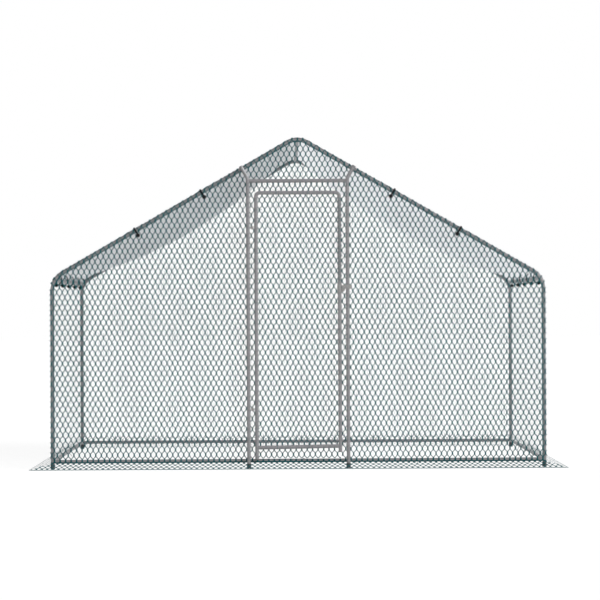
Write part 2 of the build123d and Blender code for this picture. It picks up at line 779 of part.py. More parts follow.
def open_wall_net_for_loops(side, end):
    """Holes in an end wall's net where the bungee loops of one rafter pass through."""
    for along in rafter_loops_along:
        point = slope_point(side, end * (half_run - tube_r), along, -loop_below_rafter)
        add_rod(point, (0, end, 0), frame_tube_d, cord_hole_d, mode=Mode.SUBTRACT)


net_side = half_width - net_edge_inset
net_door_edge = door_post_x - net_past_post
saddle_hole_d = saddle_size * sqrt(2) + 2 * saddle_hole_clearance
eave_edge_z = eave_height - eave_tangent
ridge_along = slope_length - ridge_tangent
front_net_plane = Plane.XZ.offset(half_depth + net_gap)
back_net_plane = Plane.XZ.offset(-(half_depth + net_gap + net_thickness))

left_outline = [
    (-net_side, net_foot),
    (-net_door_edge, net_foot),
    (-net_door_edge, front_rafter_z(net_door_edge)),
    slope_edge(-1, eave_tangent),
    (-net_side, eave_edge_z),
]
front_outlines = {-1: left_outline, 1: mirrored(left_outline)}
for side, side_name in SIDES.items():
    wall_face = net_face(front_net_plane, front_outlines[side])
    with BuildPart() as front_net:
        extrude(wall_face, amount=net_thickness, dir=FRONT)
        open_wall_net_for_loops(side, -1)
        for point in (rail_bolts[side], rafter_bolts[side]):
            add_rod(point, BACK, bolt_grip, saddle_hole_d, mode=Mode.SUBTRACT)
        if side_name == "right":
            nut_hole_d = bolt_head_across + 2 * latch_nut_clearance
            add_rod(latch_head_seat, BACK, bolt_grip + tube_r, nut_hole_d, mode=Mode.SUBTRACT)
    finish(front_net, f"front_{side_name}_net")

gable_edge = net_door_edge - net_seam
gable_net_foot = door_top + gable_net_gap
gable_outline = [
    (-gable_edge, gable_net_foot),
    (gable_edge, gable_net_foot),
    (gable_edge, front_rafter_z(gable_edge)),
    slope_edge(1, ridge_along),
    slope_edge(-1, ridge_along),
    (-gable_edge, front_rafter_z(gable_edge)),
]
gable_face = net_face(front_net_plane, gable_outline)
with BuildPart() as front_gable_net:
    extrude(gable_face, amount=net_thickness, dir=FRONT)
finish(front_gable_net, "front_gable_net")

back_outline = [
    (-net_side, net_foot),
    (net_side, net_foot),
    (net_side, eave_edge_z),
    slope_edge(1, eave_tangent),
    slope_edge(1, ridge_along),
    slope_edge(-1, ridge_along),
    slope_edge(-1, eave_tangent),
    (-net_side, eave_edge_z),
]
back_face = net_face(back_net_plane, back_outline)
with BuildPart() as back_net:
    extrude(back_face, amount=net_thickness, dir=FRONT)
    for side in SIDES:
        open_wall_net_for_loops(side, 1)
finish(back_net, "back_net")

net_end = half_depth - net_edge_inset
side_outline = [
    (-net_end, net_foot),
    (net_end, net_foot),
    (net_end, eave_edge_z),
    (-net_end, eave_edge_z),
]
for side, side_name in SIDES.items():
    side_face = net_face(Plane.YZ.offset(side * (half_width + net_gap)), side_outline)
    with BuildPart() as side_net:
        extrude(side_face, amount=net_thickness, dir=(side, 0, 0))
    finish(side_net, f"{side_name}_net")

# The door's own net lies behind its tubes, hangs below the door's rail and has a notch for the latch collar
door_net_side = stile_x + door_net_overlap
door_net_foot = rail_height + tube_r + door_net_foot_gap
door_outline = [
    (-door_net_side, door_net_foot),
    (door_net_side, door_net_foot),
    (door_net_side, door_top - hoop_r),
    (door_net_side - hoop_r, door_top + door_net_overlap),
    (hoop_r - door_net_side, door_top + door_net_overlap),
    (-door_net_side, door_top - hoop_r),
]
door_face = net_face(latch_plane(door_tube_r + net_gap), door_outline)
with BuildPart() as door_net:
    extrude(door_face, amount=net_thickness, dir=BACK)
    notch_half = door_tube_r + collar_wall + latch_notch_clearance
    with BuildSketch(latch_plane(2 * door_tube_d)) as notch:
        with Locations((stile_x, latch_height + (collar_top - collar_bottom) / 2)):
            Rectangle(2 * notch_half, collar_height + 2 * latch_notch_clearance)
    extrude(notch.sketch, amount=2 * door_tube_d, mode=Mode.SUBTRACT)
finish(door_net, "door_net")

# Aprons: the netting turned outward over the ground, mitred at the corners
apron_slant = hypot(apron_width, apron_top)
apron_cell = (apron_cell_width, apron_row_height, apron_twist_length)
apron_walls = {
    "front": (FRONT, half_depth, half_width),
    "back": (BACK, half_depth, half_width),
    "left": ((-1, 0, 0), half_width, half_depth),
    "right": ((1, 0, 0), half_width, half_depth),
}
for wall_name, (outward, wall_distance, half_length) in apron_walls.items():
    inner_distance = wall_distance + apron_stand_off
    inner_half = half_length + apron_stand_off - apron_mitre_gap
    outer_half = inner_half + apron_width
    rise = apron_top / apron_slant
    run = apron_width / apron_slant
    normal = moved((0, 0, run), outward, rise)
    lengthwise = Vector(*moved((0, 0, -rise), outward, run)).cross(Vector(*normal))
    inner_edge = moved((0, 0, apron_top), outward, inner_distance)
    apron_outline = [
        (-inner_half, 0),
        (inner_half, 0),
        (outer_half, apron_slant),
        (-outer_half, apron_slant),
    ]
    apron_plane = Plane(origin=inner_edge, x_dir=lengthwise, z_dir=normal)
    apron_face = net_face(apron_plane, apron_outline, apron_cell)
    with BuildPart() as apron:
        extrude(apron_face, amount=net_thickness, dir=normal)
        if wall_name == "front":
            post_hole_d = door_tube_d + 2 * (cap_clearance + cap_wall + apron_post_clearance)
            for side in SIDES:
                foot = (side * door_post_x, door_y, 0)
                add_rod(foot, UP, 2 * apron_top, post_hole_d, mode=Mode.SUBTRACT)
    finish(apron, f"{wall_name}_apron")

# Bungee loops: each goes round a tube and through an eyelet of the cover, and is closed by a ball
cord_r = bungee_cord_d / 2


class BungeeLoop:
    """One loop: its centre, the axis that it goes round, its radius, the direction from the centre
    to the ball, and the eyelet's place under the cover on one side of the roof."""

    def __init__(self, centre, axis, loop_r, toward_ball, eyelet, side):
        self.plane = Plane(origin=centre, z_dir=axis)
        self.loop_r = loop_r
        self.eyelet = eyelet
        self.normal = slope_normal(side)
        # The cord bends inside the ball, so the bore is wider than the cord by that bend
        self.bend = (bungee_ball_d / 2) ** 2 / (2 * loop_r)
        ball_centre = moved(centre, toward_ball, loop_r - self.bend / 2)
        self.ball_plane = Plane(origin=ball_centre, x_dir=toward_ball, z_dir=axis)
        self.ball_bore_d = bungee_cord_d + self.bend + 2 * ball_clearance


loops = []
eave_loop_r = tube_r + eave_loop_slack
eave_loop_spacing = 2 * (half_run - eave_loop_end_gap) / (eave_loop_count - 1)
for side in SIDES:
    normal = slope_normal(side)
    for end in ENDS:
        swing = radians(rafter_ball_angle)
        toward_ball = moved((0, end * cos(swing), 0), normal, -sin(swing))
        for along in rafter_loops_along:
            loop_y = end * (half_run + rafter_loop_forward)
            centre = slope_point(side, loop_y, along, -rafter_loop_hang)
            eyelet = slope_point(side, end * (half_run - loop_inside_rafter), along, cover_rise)
            loop = BungeeLoop(centre, slope_direction(side), rafter_loop_r, toward_ball, eyelet, side)
            loops.append(loop)
    eave_climb = sqrt(eave_loop_r**2 - (cover_middle - eave_loop_above) ** 2)
    for i in range(eave_loop_count):
        y = (i - (eave_loop_count - 1) / 2) * eave_loop_spacing
        centre = slope_point(side, y, eave_loop_along, eave_loop_above)
        eyelet = slope_point(side, y, eave_loop_along + eave_climb, cover_rise)
        loops.append(BungeeLoop(centre, BACK, eave_loop_r, DOWN, eyelet, side))

with BuildPart() as bungee_cords:
    for loop in loops:
        with Locations(loop.plane):
            Torus(loop.loop_r, cord_r)
finish(bungee_cords, "bungee_cords")

with BuildPart() as bungee_balls:
    for loop in loops:
        with BuildSketch(loop.ball_plane) as section:
            Circle(bungee_ball_d / 2)
            with Locations((loop.ball_bore_d / 2, 0)):
                beside_wall = (Align.MAX, Align.CENTER)
                Rectangle(2 * bungee_ball_d, bungee_ball_d, align=beside_wall, mode=Mode.SUBTRACT)
        revolve(section.sketch, axis=Axis(loop.ball_plane.origin, loop.ball_plane.y_dir))
finish(bungee_balls, "bungee_balls")

# Roof cover: one sheet over the ridge, with pressed eyelets
eyelet_bore = bungee_cord_d + 2 * eyelet_clearance
barrel_d = eyelet_bore + 2 * eyelet_barrel_wall
eyelet_d = barrel_d + 2 * eyelet_flange_width


def cover_line(rise):
    """The cover's section at a height above the rafter axes: slope, ridge bend, slope."""
    points = [slope_point(-1, 0, cover_low_edge, rise), slope_point(1, 0, cover_low_edge, rise)]
    low_left, low_right = [(x, z) for x, _, z in points]
    top = (0, apex_height + rise / cos(pitch))
    return FilletPolyline(low_left, top, low_right, radius=ridge_bend_r + rise)


with BuildPart() as roof_cover:
    cover_half_length = half_run + cover_end_overhang
    with BuildSketch(Plane.XZ.offset(-cover_half_length)) as cover_section:
        with BuildLine():
            underside = cover_line(cover_rise)
            outside = cover_line(cover_rise + cover_thickness)
            Line(underside @ 0, outside @ 0)
            Line(underside @ 1, outside @ 1)
        make_face()
    extrude(cover_section.sketch, amount=2 * cover_half_length)
    for loop in loops:
        start = moved(loop.eyelet, loop.normal, -cover_thickness)
        add_rod(start, loop.normal, 3 * cover_thickness, barrel_d, mode=Mode.SUBTRACT)
finish(roof_cover, "roof_cover")

with BuildPart() as cover_eyelets:
    for loop in loops:
        top = moved(loop.eyelet, loop.normal, cover_thickness)
        add_rod(loop.eyelet, loop.normal, cover_thickness, barrel_d, eyelet_bore)
        add_rod(loop.eyelet, flipped(loop.normal), eyelet_flange, eyelet_d, eyelet_bore)
        add_rod(top, loop.normal, eyelet_flange, eyelet_d, eyelet_bore)
finish(cover_eyelets, "cover_eyelets")

print("ridge top", round(ridge_axis_height + tube_r, 1), "mm, slope", round(slope_length, 1), "mm")
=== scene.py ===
from functools import partial
import json
import math

import bpy
import numpy as np
from mathutils import Matrix, Vector
from mathutils.geometry import delaunay_2d_cdt


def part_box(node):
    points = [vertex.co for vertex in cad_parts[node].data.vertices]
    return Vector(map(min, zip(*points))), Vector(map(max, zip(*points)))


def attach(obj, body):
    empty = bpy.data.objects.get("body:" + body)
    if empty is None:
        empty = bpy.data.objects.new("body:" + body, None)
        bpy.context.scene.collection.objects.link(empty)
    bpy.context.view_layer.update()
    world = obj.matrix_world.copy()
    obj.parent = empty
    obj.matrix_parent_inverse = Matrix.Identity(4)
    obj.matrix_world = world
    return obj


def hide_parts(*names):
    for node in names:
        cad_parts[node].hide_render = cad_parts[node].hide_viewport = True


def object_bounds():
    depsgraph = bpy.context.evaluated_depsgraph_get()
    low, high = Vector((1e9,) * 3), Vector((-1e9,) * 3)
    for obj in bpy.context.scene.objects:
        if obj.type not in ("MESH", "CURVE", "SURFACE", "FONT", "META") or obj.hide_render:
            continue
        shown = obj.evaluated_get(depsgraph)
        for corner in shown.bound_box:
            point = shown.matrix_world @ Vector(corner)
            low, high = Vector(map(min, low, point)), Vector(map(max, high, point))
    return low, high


# The looks of a walk-in poultry run: netting at its real pitch, a slack roof cover, ball bungees, wire ties,
# and the finish of every tube and fitting. Metres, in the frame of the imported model.

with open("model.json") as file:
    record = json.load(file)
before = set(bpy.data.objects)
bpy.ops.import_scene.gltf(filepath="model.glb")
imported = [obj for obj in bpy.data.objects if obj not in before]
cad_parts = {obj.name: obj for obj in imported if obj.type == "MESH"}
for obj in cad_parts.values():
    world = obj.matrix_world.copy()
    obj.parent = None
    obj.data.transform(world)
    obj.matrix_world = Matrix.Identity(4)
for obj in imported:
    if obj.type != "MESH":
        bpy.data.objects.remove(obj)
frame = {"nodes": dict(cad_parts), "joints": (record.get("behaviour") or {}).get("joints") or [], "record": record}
cad_low, cad_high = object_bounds()


# Sizes read from the frame
def middle(node):
    """The middle of a node's box."""
    low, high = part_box(node)
    return (low + high) / 2


def size(node):
    """The lengths of a node's box."""
    low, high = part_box(node)
    return high - low


TUBE_R = size("right_eave_tube").z / 2
DOOR_TUBE_R = size("door_rail").y / 2
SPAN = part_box("front_right_post")[1].x - TUBE_R  # axis of the corner posts, along X
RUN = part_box("back_right_post")[1].y - TUBE_R  # axis of the corner posts, along Y
RAIL_Z = middle("right_rail").z
RIDGE_Z = middle("ridge_tube").z
EAVE_TUBE = middle("right_eave_tube")
DOOR_Y = middle("door_rail").y
STILE_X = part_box("door_hoop")[1].x - DOOR_TUBE_R
DOOR_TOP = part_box("door_hoop")[1].z - DOOR_TUBE_R
COLLAR_LOW, COLLAR_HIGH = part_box("latch_collar")
JOINTS = {joint["name"]: Vector(joint["pos_m"]) for joint in frame["joints"]}
LATCH = JOINTS["latch_lift"]
DOOR_POST_X = -2 * JOINTS["door_swing"].x - STILE_X  # the hinge is midway between post and stile
DOOR_RAIL_Z = middle("door_rail").z

# Shape of the bent end frames
PITCH = math.radians(29.87)
EAVE_R = 0.130  # of the bends
RIDGE_R = 0.110
HOOP_R = 0.024
DOOR_RAIL_SKEW = 0.008  # rise from the hinge stile to the latch stile
SIN, COS = math.sin(PITCH), math.cos(PITCH)
APEX_Z = RIDGE_Z + RIDGE_R * (1 / COS - 1)
EAVE_Z = APEX_Z - SPAN * SIN / COS
EAVE_TURN = math.pi / 2 - PITCH
EAVE_CENTRE_X = SPAN - EAVE_R
EAVE_TANGENT = EAVE_R * math.tan(EAVE_TURN / 2)  # from the eave corner to the ends of its bend
EAVE_CENTRE_Z = EAVE_Z - EAVE_TANGENT
RIDGE_CENTRE_Z = RIDGE_Z - RIDGE_R
SLOPE_TOP = SPAN / COS - RIDGE_R * math.tan(PITCH)  # from the eave corner up to the ridge bend

# Sizes of the netting
CELL = 0.0332  # width of a cell
ROW = 0.0308  # from one row of twists up to the next
TWIST = 0.0175  # length of a twist
LATTICE_U = 0.001  # where one twist lies, along a wall and up it
LATTICE_V = 0.0225
FRONT_WIRE = (0.0024, 0.0007)  # half width along the net, half depth through it
SIDE_WIRE = (0.0010, 0.00006)
BACK_WIRE = (0.0005, 0.0003)
FRONT_APRON_WIRE = (0.0029, 0.0018)
APRON_WIRE = (0.0016, 0.00008)
WIRE_SIDES = 4
WIRE_RISE = 1.3  # of a wire's middle over its net's face, in half depths
CURVE_PARTS = 5  # of a stretch of wire that lies on a curve
TWIST_FILL = 0.8  # how much thicker the coating is where wires cross
FULL_TWIST = (0, 90, 180, 270, 360)
PLAIN_TWIST = (0, 360)
EDGE_SHARE = 0.9  # of the net's wire size, for a wire along an edge
RIM_SHARE = 0.8
FOOT_SHARE = 1.1
EDGE_STEP = 0.012
NET_GAP = 0.0004  # between a tube and the net on it
NET_JITTER = 0.0005  # of the twists' places
NET_SLACK = 0.004  # at most, inside its flat plane
DOOR_NET_SLACK = -0.002
NET_EASE = (0.25, 1.5)  # from a net's edge to where it hangs free, and the power of the curve
BACK_NET_WANDER = 0.008  # of its cells, within its plane
NET_FOOT = RAIL_Z - 0.009  # on the lower half of the bottom rails
NET_TEETH = 0.015  # of cut ends past the axes of the tubes
NET_TOP = cad_high.z - FRONT_WIRE[0]
RIM_IN = 0.0108  # of the lacing wire inside the frame's line
RIM_STEP = 0.02
DOORWAY_X = STILE_X + 0.008  # the front nets end behind the door's stiles
GABLE_FOOT = DOOR_TOP + 0.006
DOOR_NET_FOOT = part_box("door_net")[0].z
DOOR_NET_PAST = 0.004  # beyond the axis of the door's hoop
COLLAR_GAP = 0.0025
SIDE_TOP = EAVE_CENTRE_Z + (EAVE_R + TUBE_R) * (EAVE_TURN / 2 + 0.06)  # just past the eave tube
SIDE_END = RUN + 0.009
SIDE_EDGE_IN = 0.001

SIDES = ((-1, "left"), (1, "right"))
RIGHT, BACK, UP = (1, 0, 0), (0, 1, 0), (0, 0, 1)
SMALL_STEP = 1e-4  # over which a slope is measured

rng = np.random.default_rng(7)


# Angles, directions and shares
def turns(steps):
    """Angles evenly round a circle."""
    return np.arange(steps) / steps * 2 * math.pi


def circle(turn, first, second):
    """Points at angles round a circle, which goes from the first direction to the second."""
    return np.cos(turn)[:, None] * first + np.sin(turn)[:, None] * second


def unit(vectors):
    return vectors / np.linalg.norm(vectors, axis=-1, keepdims=True)


def eased(share):
    """A share held between 0 and 1, with gentle ends."""
    share = np.clip(share, 0, 1)
    return share * share * (3 - 2 * share)


def least(*depths):
    return np.minimum.reduce(depths)


# Meshes and pieces
def make_mesh(name, points, face_groups):
    """A smooth mesh of points and arrays of faces, each array with its own number of corners."""
    mesh = bpy.data.meshes.new(name)
    faces = [face for group in face_groups for face in group.tolist()]
    mesh.from_pydata(points, [], faces, shade_flat=False)
    mesh.validate()
    return mesh


def add_object(name, data):
    made = bpy.data.objects.new(name, data)
    bpy.context.scene.collection.objects.link(made)
    return made


def add_piece(name, mesh, body, slot, replaces=()):
    """Puts a mesh in the scene as a piece that rides on a body, with the finish of its slot."""
    piece = add_object(name, mesh)
    mesh.materials.append(finishes[slot])
    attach(piece, body)
    if replaces:
        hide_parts(*replaces)
    return piece


class TubeSet:
    """Round wires along many lines, gathered into one mesh."""

    def __init__(self):
        self.points, self.faces, self.count = [], {}, 0

    def add(self, line, normal, radius, sides, closed=False):
        """One wire. The normal, or one for each point, lies across the line, and the radius may differ
        along and around it."""
        if closed:
            tangents = np.roll(line, -1, 0) - np.roll(line, 1, 0)
        else:
            tangents = np.gradient(line, axis=0)
        across = unit(np.cross(tangents, normal))
        upward = unit(np.cross(across, tangents))
        ring = circle(turns(sides), across[:, None], upward[:, None])
        radius = np.broadcast_to(np.asarray(radius, float), (len(line), sides))
        self.add_rings(line[:, None] + ring * radius[..., None], closed)

    def add_rings(self, rings, closed):
        """A skin over rings of points. Its two ends are capped, or joined where it is closed."""
        number, sides = rings.shape[:2]
        index = self.count + np.arange(number * sides).reshape(number, sides)
        lower = index if closed else index[:-1]
        upper = np.roll(index, -1, 0) if closed else index[1:]
        quads = np.stack([lower, upper, np.roll(upper, -1, 1), np.roll(lower, -1, 1)], -1)
        self.faces.setdefault(4, []).append(quads.reshape(-1, 4))
        if not closed:
            self.faces.setdefault(sides, []).append(np.stack([index[0], index[-1][::-1]]))
        self.points.append(rings.reshape(-1, 3))
        self.count += number * sides

    def piece(self, name, body="frame", slot="coated_wire", replaces=()):
        groups = [np.concatenate(group) for group in self.faces.values()]
        add_piece(name, make_mesh(name, np.concatenate(self.points), groups), body, slot, replaces)


# Finishes
class NodeTree:
    """A tree of shader nodes, added by kind. A node's input is a value, or an output of another node."""

    def __init__(self, tree):
        self.nodes, self.links = tree.nodes, tree.links

    def node(self, kind, inputs=None, **settings):
        made = self.nodes.new("ShaderNode" + kind)
        for setting, value in settings.items():
            setattr(made, setting, value)
        for socket, value in (inputs or {}).items():
            self.feed(made.inputs[socket], value)
        return made

    def feed(self, socket, value):
        if isinstance(value, bpy.types.NodeSocket):
            self.links.new(value, socket)
        else:
            socket.default_value = value

    def range(self, value, low, high):
        """A value from 0 to 1 stretched between two others."""
        return self.node("MapRange", {"Value": value, "To Min": low, "To Max": high}).outputs["Result"]

    def seen(self):
        """1 for what the camera sees, straight or by reflection or transmission, and 0 for other light."""
        rays = self.node("LightPath").outputs
        seen = rays["Is Camera Ray"]
        for ray in ("Is Glossy Ray", "Is Transmission Ray"):
            seen = self.node("Math", {0: seen, 1: rays[ray]}, operation="MAXIMUM").outputs[0]
        return seen


class Finish(NodeTree):
    """A procedural material. Sockets of its shader that are the same all over are set by name."""

    def __init__(self, name, **sockets):
        self.material = bpy.data.materials.new(name)
        self.material.use_nodes = True
        super().__init__(self.material.node_tree)
        self.surface = self.nodes["Principled BSDF"]
        for socket, value in sockets.items():
            self.set(socket.replace("_", " "), value)

    def set(self, socket, value):
        self.feed(self.surface.inputs[socket], value)

    def texture(self, kind, **inputs):
        """The outputs of a texture that goes through the solid."""
        place = self.node("TexCoord").outputs["Object"]
        return self.node(kind, {"Vector": place, **inputs}).outputs

    def noise(self, scale, detail):
        """Cloudy patches, from 0 to 1."""
        return self.texture("TexNoise", Scale=scale, Detail=detail)["Fac"]

    def ramp(self, factor, *stops):
        """Colours by a factor from 0 to 1, each stop with its place and colour."""
        made = self.node("ValToRGB", {"Fac": factor})
        elements = made.color_ramp.elements
        while len(elements) < len(stops):
            elements.new(0.5)
        for element, (position, colour) in zip(elements, stops):
            element.position = position
            element.color = (*colour, 1.0)
        return made.outputs["Color"]

    def mix(self, factor, first, second):
        made = self.node("Mix", {"Factor": factor, "A": first, "B": second}, data_type="RGBA")
        return made.outputs[2]

    def bump(self, height, distance, strength):
        bump = self.node("Bump", {"Height": height, "Distance": distance, "Strength": strength})
        self.set("Normal", bump.outputs["Normal"])


def galvanised_tube():
    """Hot-dip zinc: crystals a few millimetres wide, cloudy over longer stretches."""
    finish = Finish("galvanised_tube", Metallic=0.55)
    crystals = finish.texture("TexVoronoi", Scale=150.0)
    clouds = finish.noise(7.0, 4.0)
    dark = finish.ramp(crystals["Color"], (0.0, (0.195, 0.194, 0.201)), (1.0, (0.275, 0.274, 0.282)))
    light = finish.ramp(crystals["Color"], (0.0, (0.245, 0.244, 0.252)), (1.0, (0.34, 0.339, 0.348)))
    finish.set("Base Color", finish.mix(clouds, dark, light))
    finish.set("Roughness", finish.range(crystals["Distance"], 0.34, 0.56))
    finish.bump(clouds, 0.0002, 0.5)
    return finish.material


def zinc_steel():
    """Bright zinc plating with a little mottling and wear."""
    finish = Finish("zinc_steel", Metallic=0.7)
    mottle = finish.noise(160.0, 3.0)
    stain = finish.noise(25.0, 2.0)
    colour = finish.ramp(mottle, (0.3, (0.25, 0.25, 0.247)), (0.75, (0.40, 0.40, 0.395)))
    finish.set("Base Color", colour)
    finish.set("Roughness", finish.range(stain, 0.28, 0.52))
    finish.bump(mottle, 0.0001, 0.4)
    return finish.material


def coated_wire():
    """The dark blue-green satin coating of the netting, paler in patches where it has rubbed."""
    finish = Finish("coated_wire", Metallic=0.0, Specular_IOR_Level=0.15)
    grain = finish.noise(90.0, 3.0)
    patches = finish.noise(5.0, 3.0)
    dark, middling, pale = (0.007, 0.086, 0.100), (0.011, 0.104, 0.118), (0.020, 0.125, 0.140)
    finish.set("Base Color", finish.ramp(patches, (0.25, dark), (0.55, middling), (0.85, pale)))
    finish.set("Roughness", finish.range(grain, 0.55, 0.8))
    finish.bump(grain, 0.0002, 0.4)
    return finish.material


def moulded_plastic(name, dark, pale):
    """Moulded plastic with a fine grain, scuffed paler."""
    finish = Finish(name, Specular_IOR_Level=0.25)
    grain = finish.noise(800.0, 2.0)
    scuffs = finish.noise(50.0, 4.0)
    finish.set("Base Color", finish.ramp(scuffs, (0.35, dark), (0.8, pale)))
    finish.set("Roughness", finish.range(scuffs, 0.5, 0.75))
    finish.bump(grain, 0.0001, 0.5)
    return finish.material


def black_plastic():
    return moulded_plastic("black_plastic", (0.005, 0.005, 0.006), (0.016, 0.017, 0.018))


def gray_plastic():
    return moulded_plastic("gray_plastic", (0.070, 0.073, 0.075), (0.125, 0.128, 0.130))


def black_elastic():
    """Braided elastic cord."""
    finish = Finish("black_elastic", Roughness=0.9, Specular_IOR_Level=0.2)
    yarn = finish.texture("TexVoronoi", Scale=1400.0)["Distance"]
    colour = finish.ramp(yarn, (0.0, (0.026, 0.026, 0.028)), (0.8, (0.008, 0.008, 0.009)))
    finish.set("Base Color", colour)
    finish.bump(yarn, 0.0003, 0.6)
    return finish.material


def cover_sheet():
    """Coated woven sheet: flat tapes a few millimetres wide, and light that comes through."""
    finish = Finish("cover_sheet", Roughness=0.62)
    flat = finish.node("UVMap", uv_map="cut").outputs["UV"]
    bands = {"Vector": flat, "Scale": 52.0, "Distortion": 0.3}
    tapes = [finish.node("TexWave", bands, bands_direction=way).outputs["Fac"] for way in ("X", "Y")]
    weave = finish.node("Math", {0: tapes[0], 1: tapes[1]}, operation="MULTIPLY").outputs["Value"]
    clouds = finish.noise(2.6, 5.0)
    pale = finish.ramp(clouds, (0.3, (0.43, 0.432, 0.438)), (0.7, (0.50, 0.502, 0.508)))
    finish.set("Base Color", finish.mix(weave, pale, (0.55, 0.555, 0.562, 1.0)))
    finish.bump(weave, 0.0004, 0.5)
    through = finish.ramp(clouds, (0.3, (0.845, 0.85, 0.86)), (0.7, (0.89, 0.895, 0.905)))
    glow = finish.node("BsdfTranslucent", {"Color": through})
    shaders = {"Fac": 0.75, 1: finish.surface.outputs["BSDF"], 2: glow.outputs["BSDF"]}
    blend = finish.node("MixShader", shaders)
    finish.feed(finish.nodes["Material Output"].inputs["Surface"], blend.outputs["Shader"])
    return finish.material


LOOKS = (galvanised_tube, zinc_steel, coated_wire, black_plastic, gray_plastic, black_elastic, cover_sheet)
finishes = {make.__name__: make() for make in LOOKS}

# The fixed model keeps its shapes and gets the finishes
GRAY_NODES = ("foot_caps", "stile_plugs")
for subpart in frame["record"]["subparts"]:
    node = subpart["node"]
    materials = frame["nodes"][node].data.materials
    materials.clear()
    materials.append(finishes["gray_plastic" if node in GRAY_NODES else subpart["material_slot"]])


# Separate solids of a node
def clusters(node, reach=0.1):
    """The points of a node's separate solids, which lie further apart than the reach."""
    points = np.array([vertex.co for vertex in frame["nodes"][node].data.vertices])
    groups = []
    while len(points):
        near = np.linalg.norm(points - points[0], axis=1) < reach
        groups.append(points[near])
        points = points[~near]
    return groups


def box_middle(points):
    return (points.min(0) + points.max(0)) / 2


# Distances outside the lines of the frame and the door
def frame_distance(x, z):
    """Distance outside the centre line of an end frame: posts, eave bends, rafters and ridge bend."""
    reach = np.abs(x)
    eave_x, eave_z = reach - EAVE_CENTRE_X, z - EAVE_CENTRE_Z
    ridge_z = z - RIDGE_CENTRE_Z
    at_ridge = (ridge_z > 0) & (np.arctan2(reach, ridge_z) < PITCH)
    at_eave = (eave_z > 0) & (eave_x > 0) & (np.arctan2(eave_z, eave_x) < EAVE_TURN)
    at_post = z <= EAVE_CENTRE_Z
    past_ridge = np.hypot(reach, ridge_z) - RIDGE_R
    past_eave = np.hypot(eave_x, eave_z) - EAVE_R
    past_slope = reach * SIN + (z - APEX_Z) * COS
    return np.select([at_ridge, at_eave, at_post], [past_ridge, past_eave, reach - SPAN], past_slope)


def door_distance(x, z):
    """Distance outside the centre line of the door's hoop."""
    reach = np.abs(x)
    corner_x, corner_z = reach - (STILE_X - HOOP_R), z - (DOOR_TOP - HOOP_R)
    at_corner = (corner_x > 0) & (corner_z > 0)
    straight = np.maximum(reach - STILE_X, z - DOOR_TOP)
    return np.where(at_corner, np.hypot(corner_x, corner_z) - HOOP_R, straight)


# Surfaces that nets lie on, from (u, v, lift) to a point
def flat_wall(face_y, facing, u, v, lift):
    """An upright net on the front or back of a frame's tubes."""
    return np.stack([u, face_y + facing * (NET_GAP + lift), v], -1)


def side_wall(side, u, v, lift):
    """An upright net outside the corner posts, bent over the eave bends."""
    face_r = EAVE_R + TUBE_R + NET_GAP
    angle = np.maximum(v - EAVE_CENTRE_Z, 0.0) / face_r
    x = EAVE_CENTRE_X + (face_r + lift) * np.cos(angle)
    z = np.minimum(v, EAVE_CENTRE_Z) + (face_r + lift) * np.sin(angle)
    return np.stack([side * x, u, z], -1)


# The apron's section: down the wall, round a bend, and out to the ground
APRON_BEND_R = 0.004
APRON_BEND_ROOM = 0.006  # either side of it, with extra points too
APRON_DROP = 0.0015  # straight below the wall's net
APRON_OVERLAP = 0.050  # up the wall, outside the wall's net
APRON_END_Z = 0.0008
APRON_ROOM = 0.0015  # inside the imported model's apron
APRON_REACH = -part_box("front_apron")[0].y - RUN - TUBE_R - APRON_ROOM
APRON_START = NET_GAP + 3 * BACK_WIRE[1]  # where the apron goes up over the wall's net
apron_ahead = APRON_REACH - APRON_START - APRON_BEND_R
apron_below = NET_FOOT - APRON_DROP - APRON_END_Z
apron_far = math.hypot(apron_ahead, apron_below)
APRON_SLANT = math.atan2(apron_below, apron_ahead) - math.asin(APRON_BEND_R / apron_far)
APRON_TURN = math.pi / 2 - APRON_SLANT
APRON_ARC = APRON_TURN * APRON_BEND_R
APRON_LENGTH = APRON_DROP + APRON_ARC + math.sqrt(apron_far**2 - APRON_BEND_R**2)


def apron_section(travel, lift):
    """Distance outside its start and height, by the distance travelled from the wall's foot."""
    turn = np.clip((travel - APRON_DROP) / APRON_BEND_R, 0, APRON_TURN)
    run = np.maximum(travel - APRON_DROP - APRON_ARC, 0)
    radius = APRON_BEND_R - lift
    out = APRON_BEND_R - radius * np.cos(turn) + run * math.cos(APRON_SLANT)
    z = NET_FOOT - np.minimum(travel, APRON_DROP) - radius * np.sin(turn) - run * math.sin(APRON_SLANT)
    return out, z


def apron_surface(axis, facing, start, u, v, lift):
    """The netting turned outward over the ground, for a wall that faces along X or Y."""
    out, z = apron_section(NET_FOOT - v, lift)
    if axis == "x":
        return np.stack([facing * (SPAN + TUBE_R + start + out), u, z], -1)
    return np.stack([u, facing * (RUN + TUBE_R + start + out), z], -1)


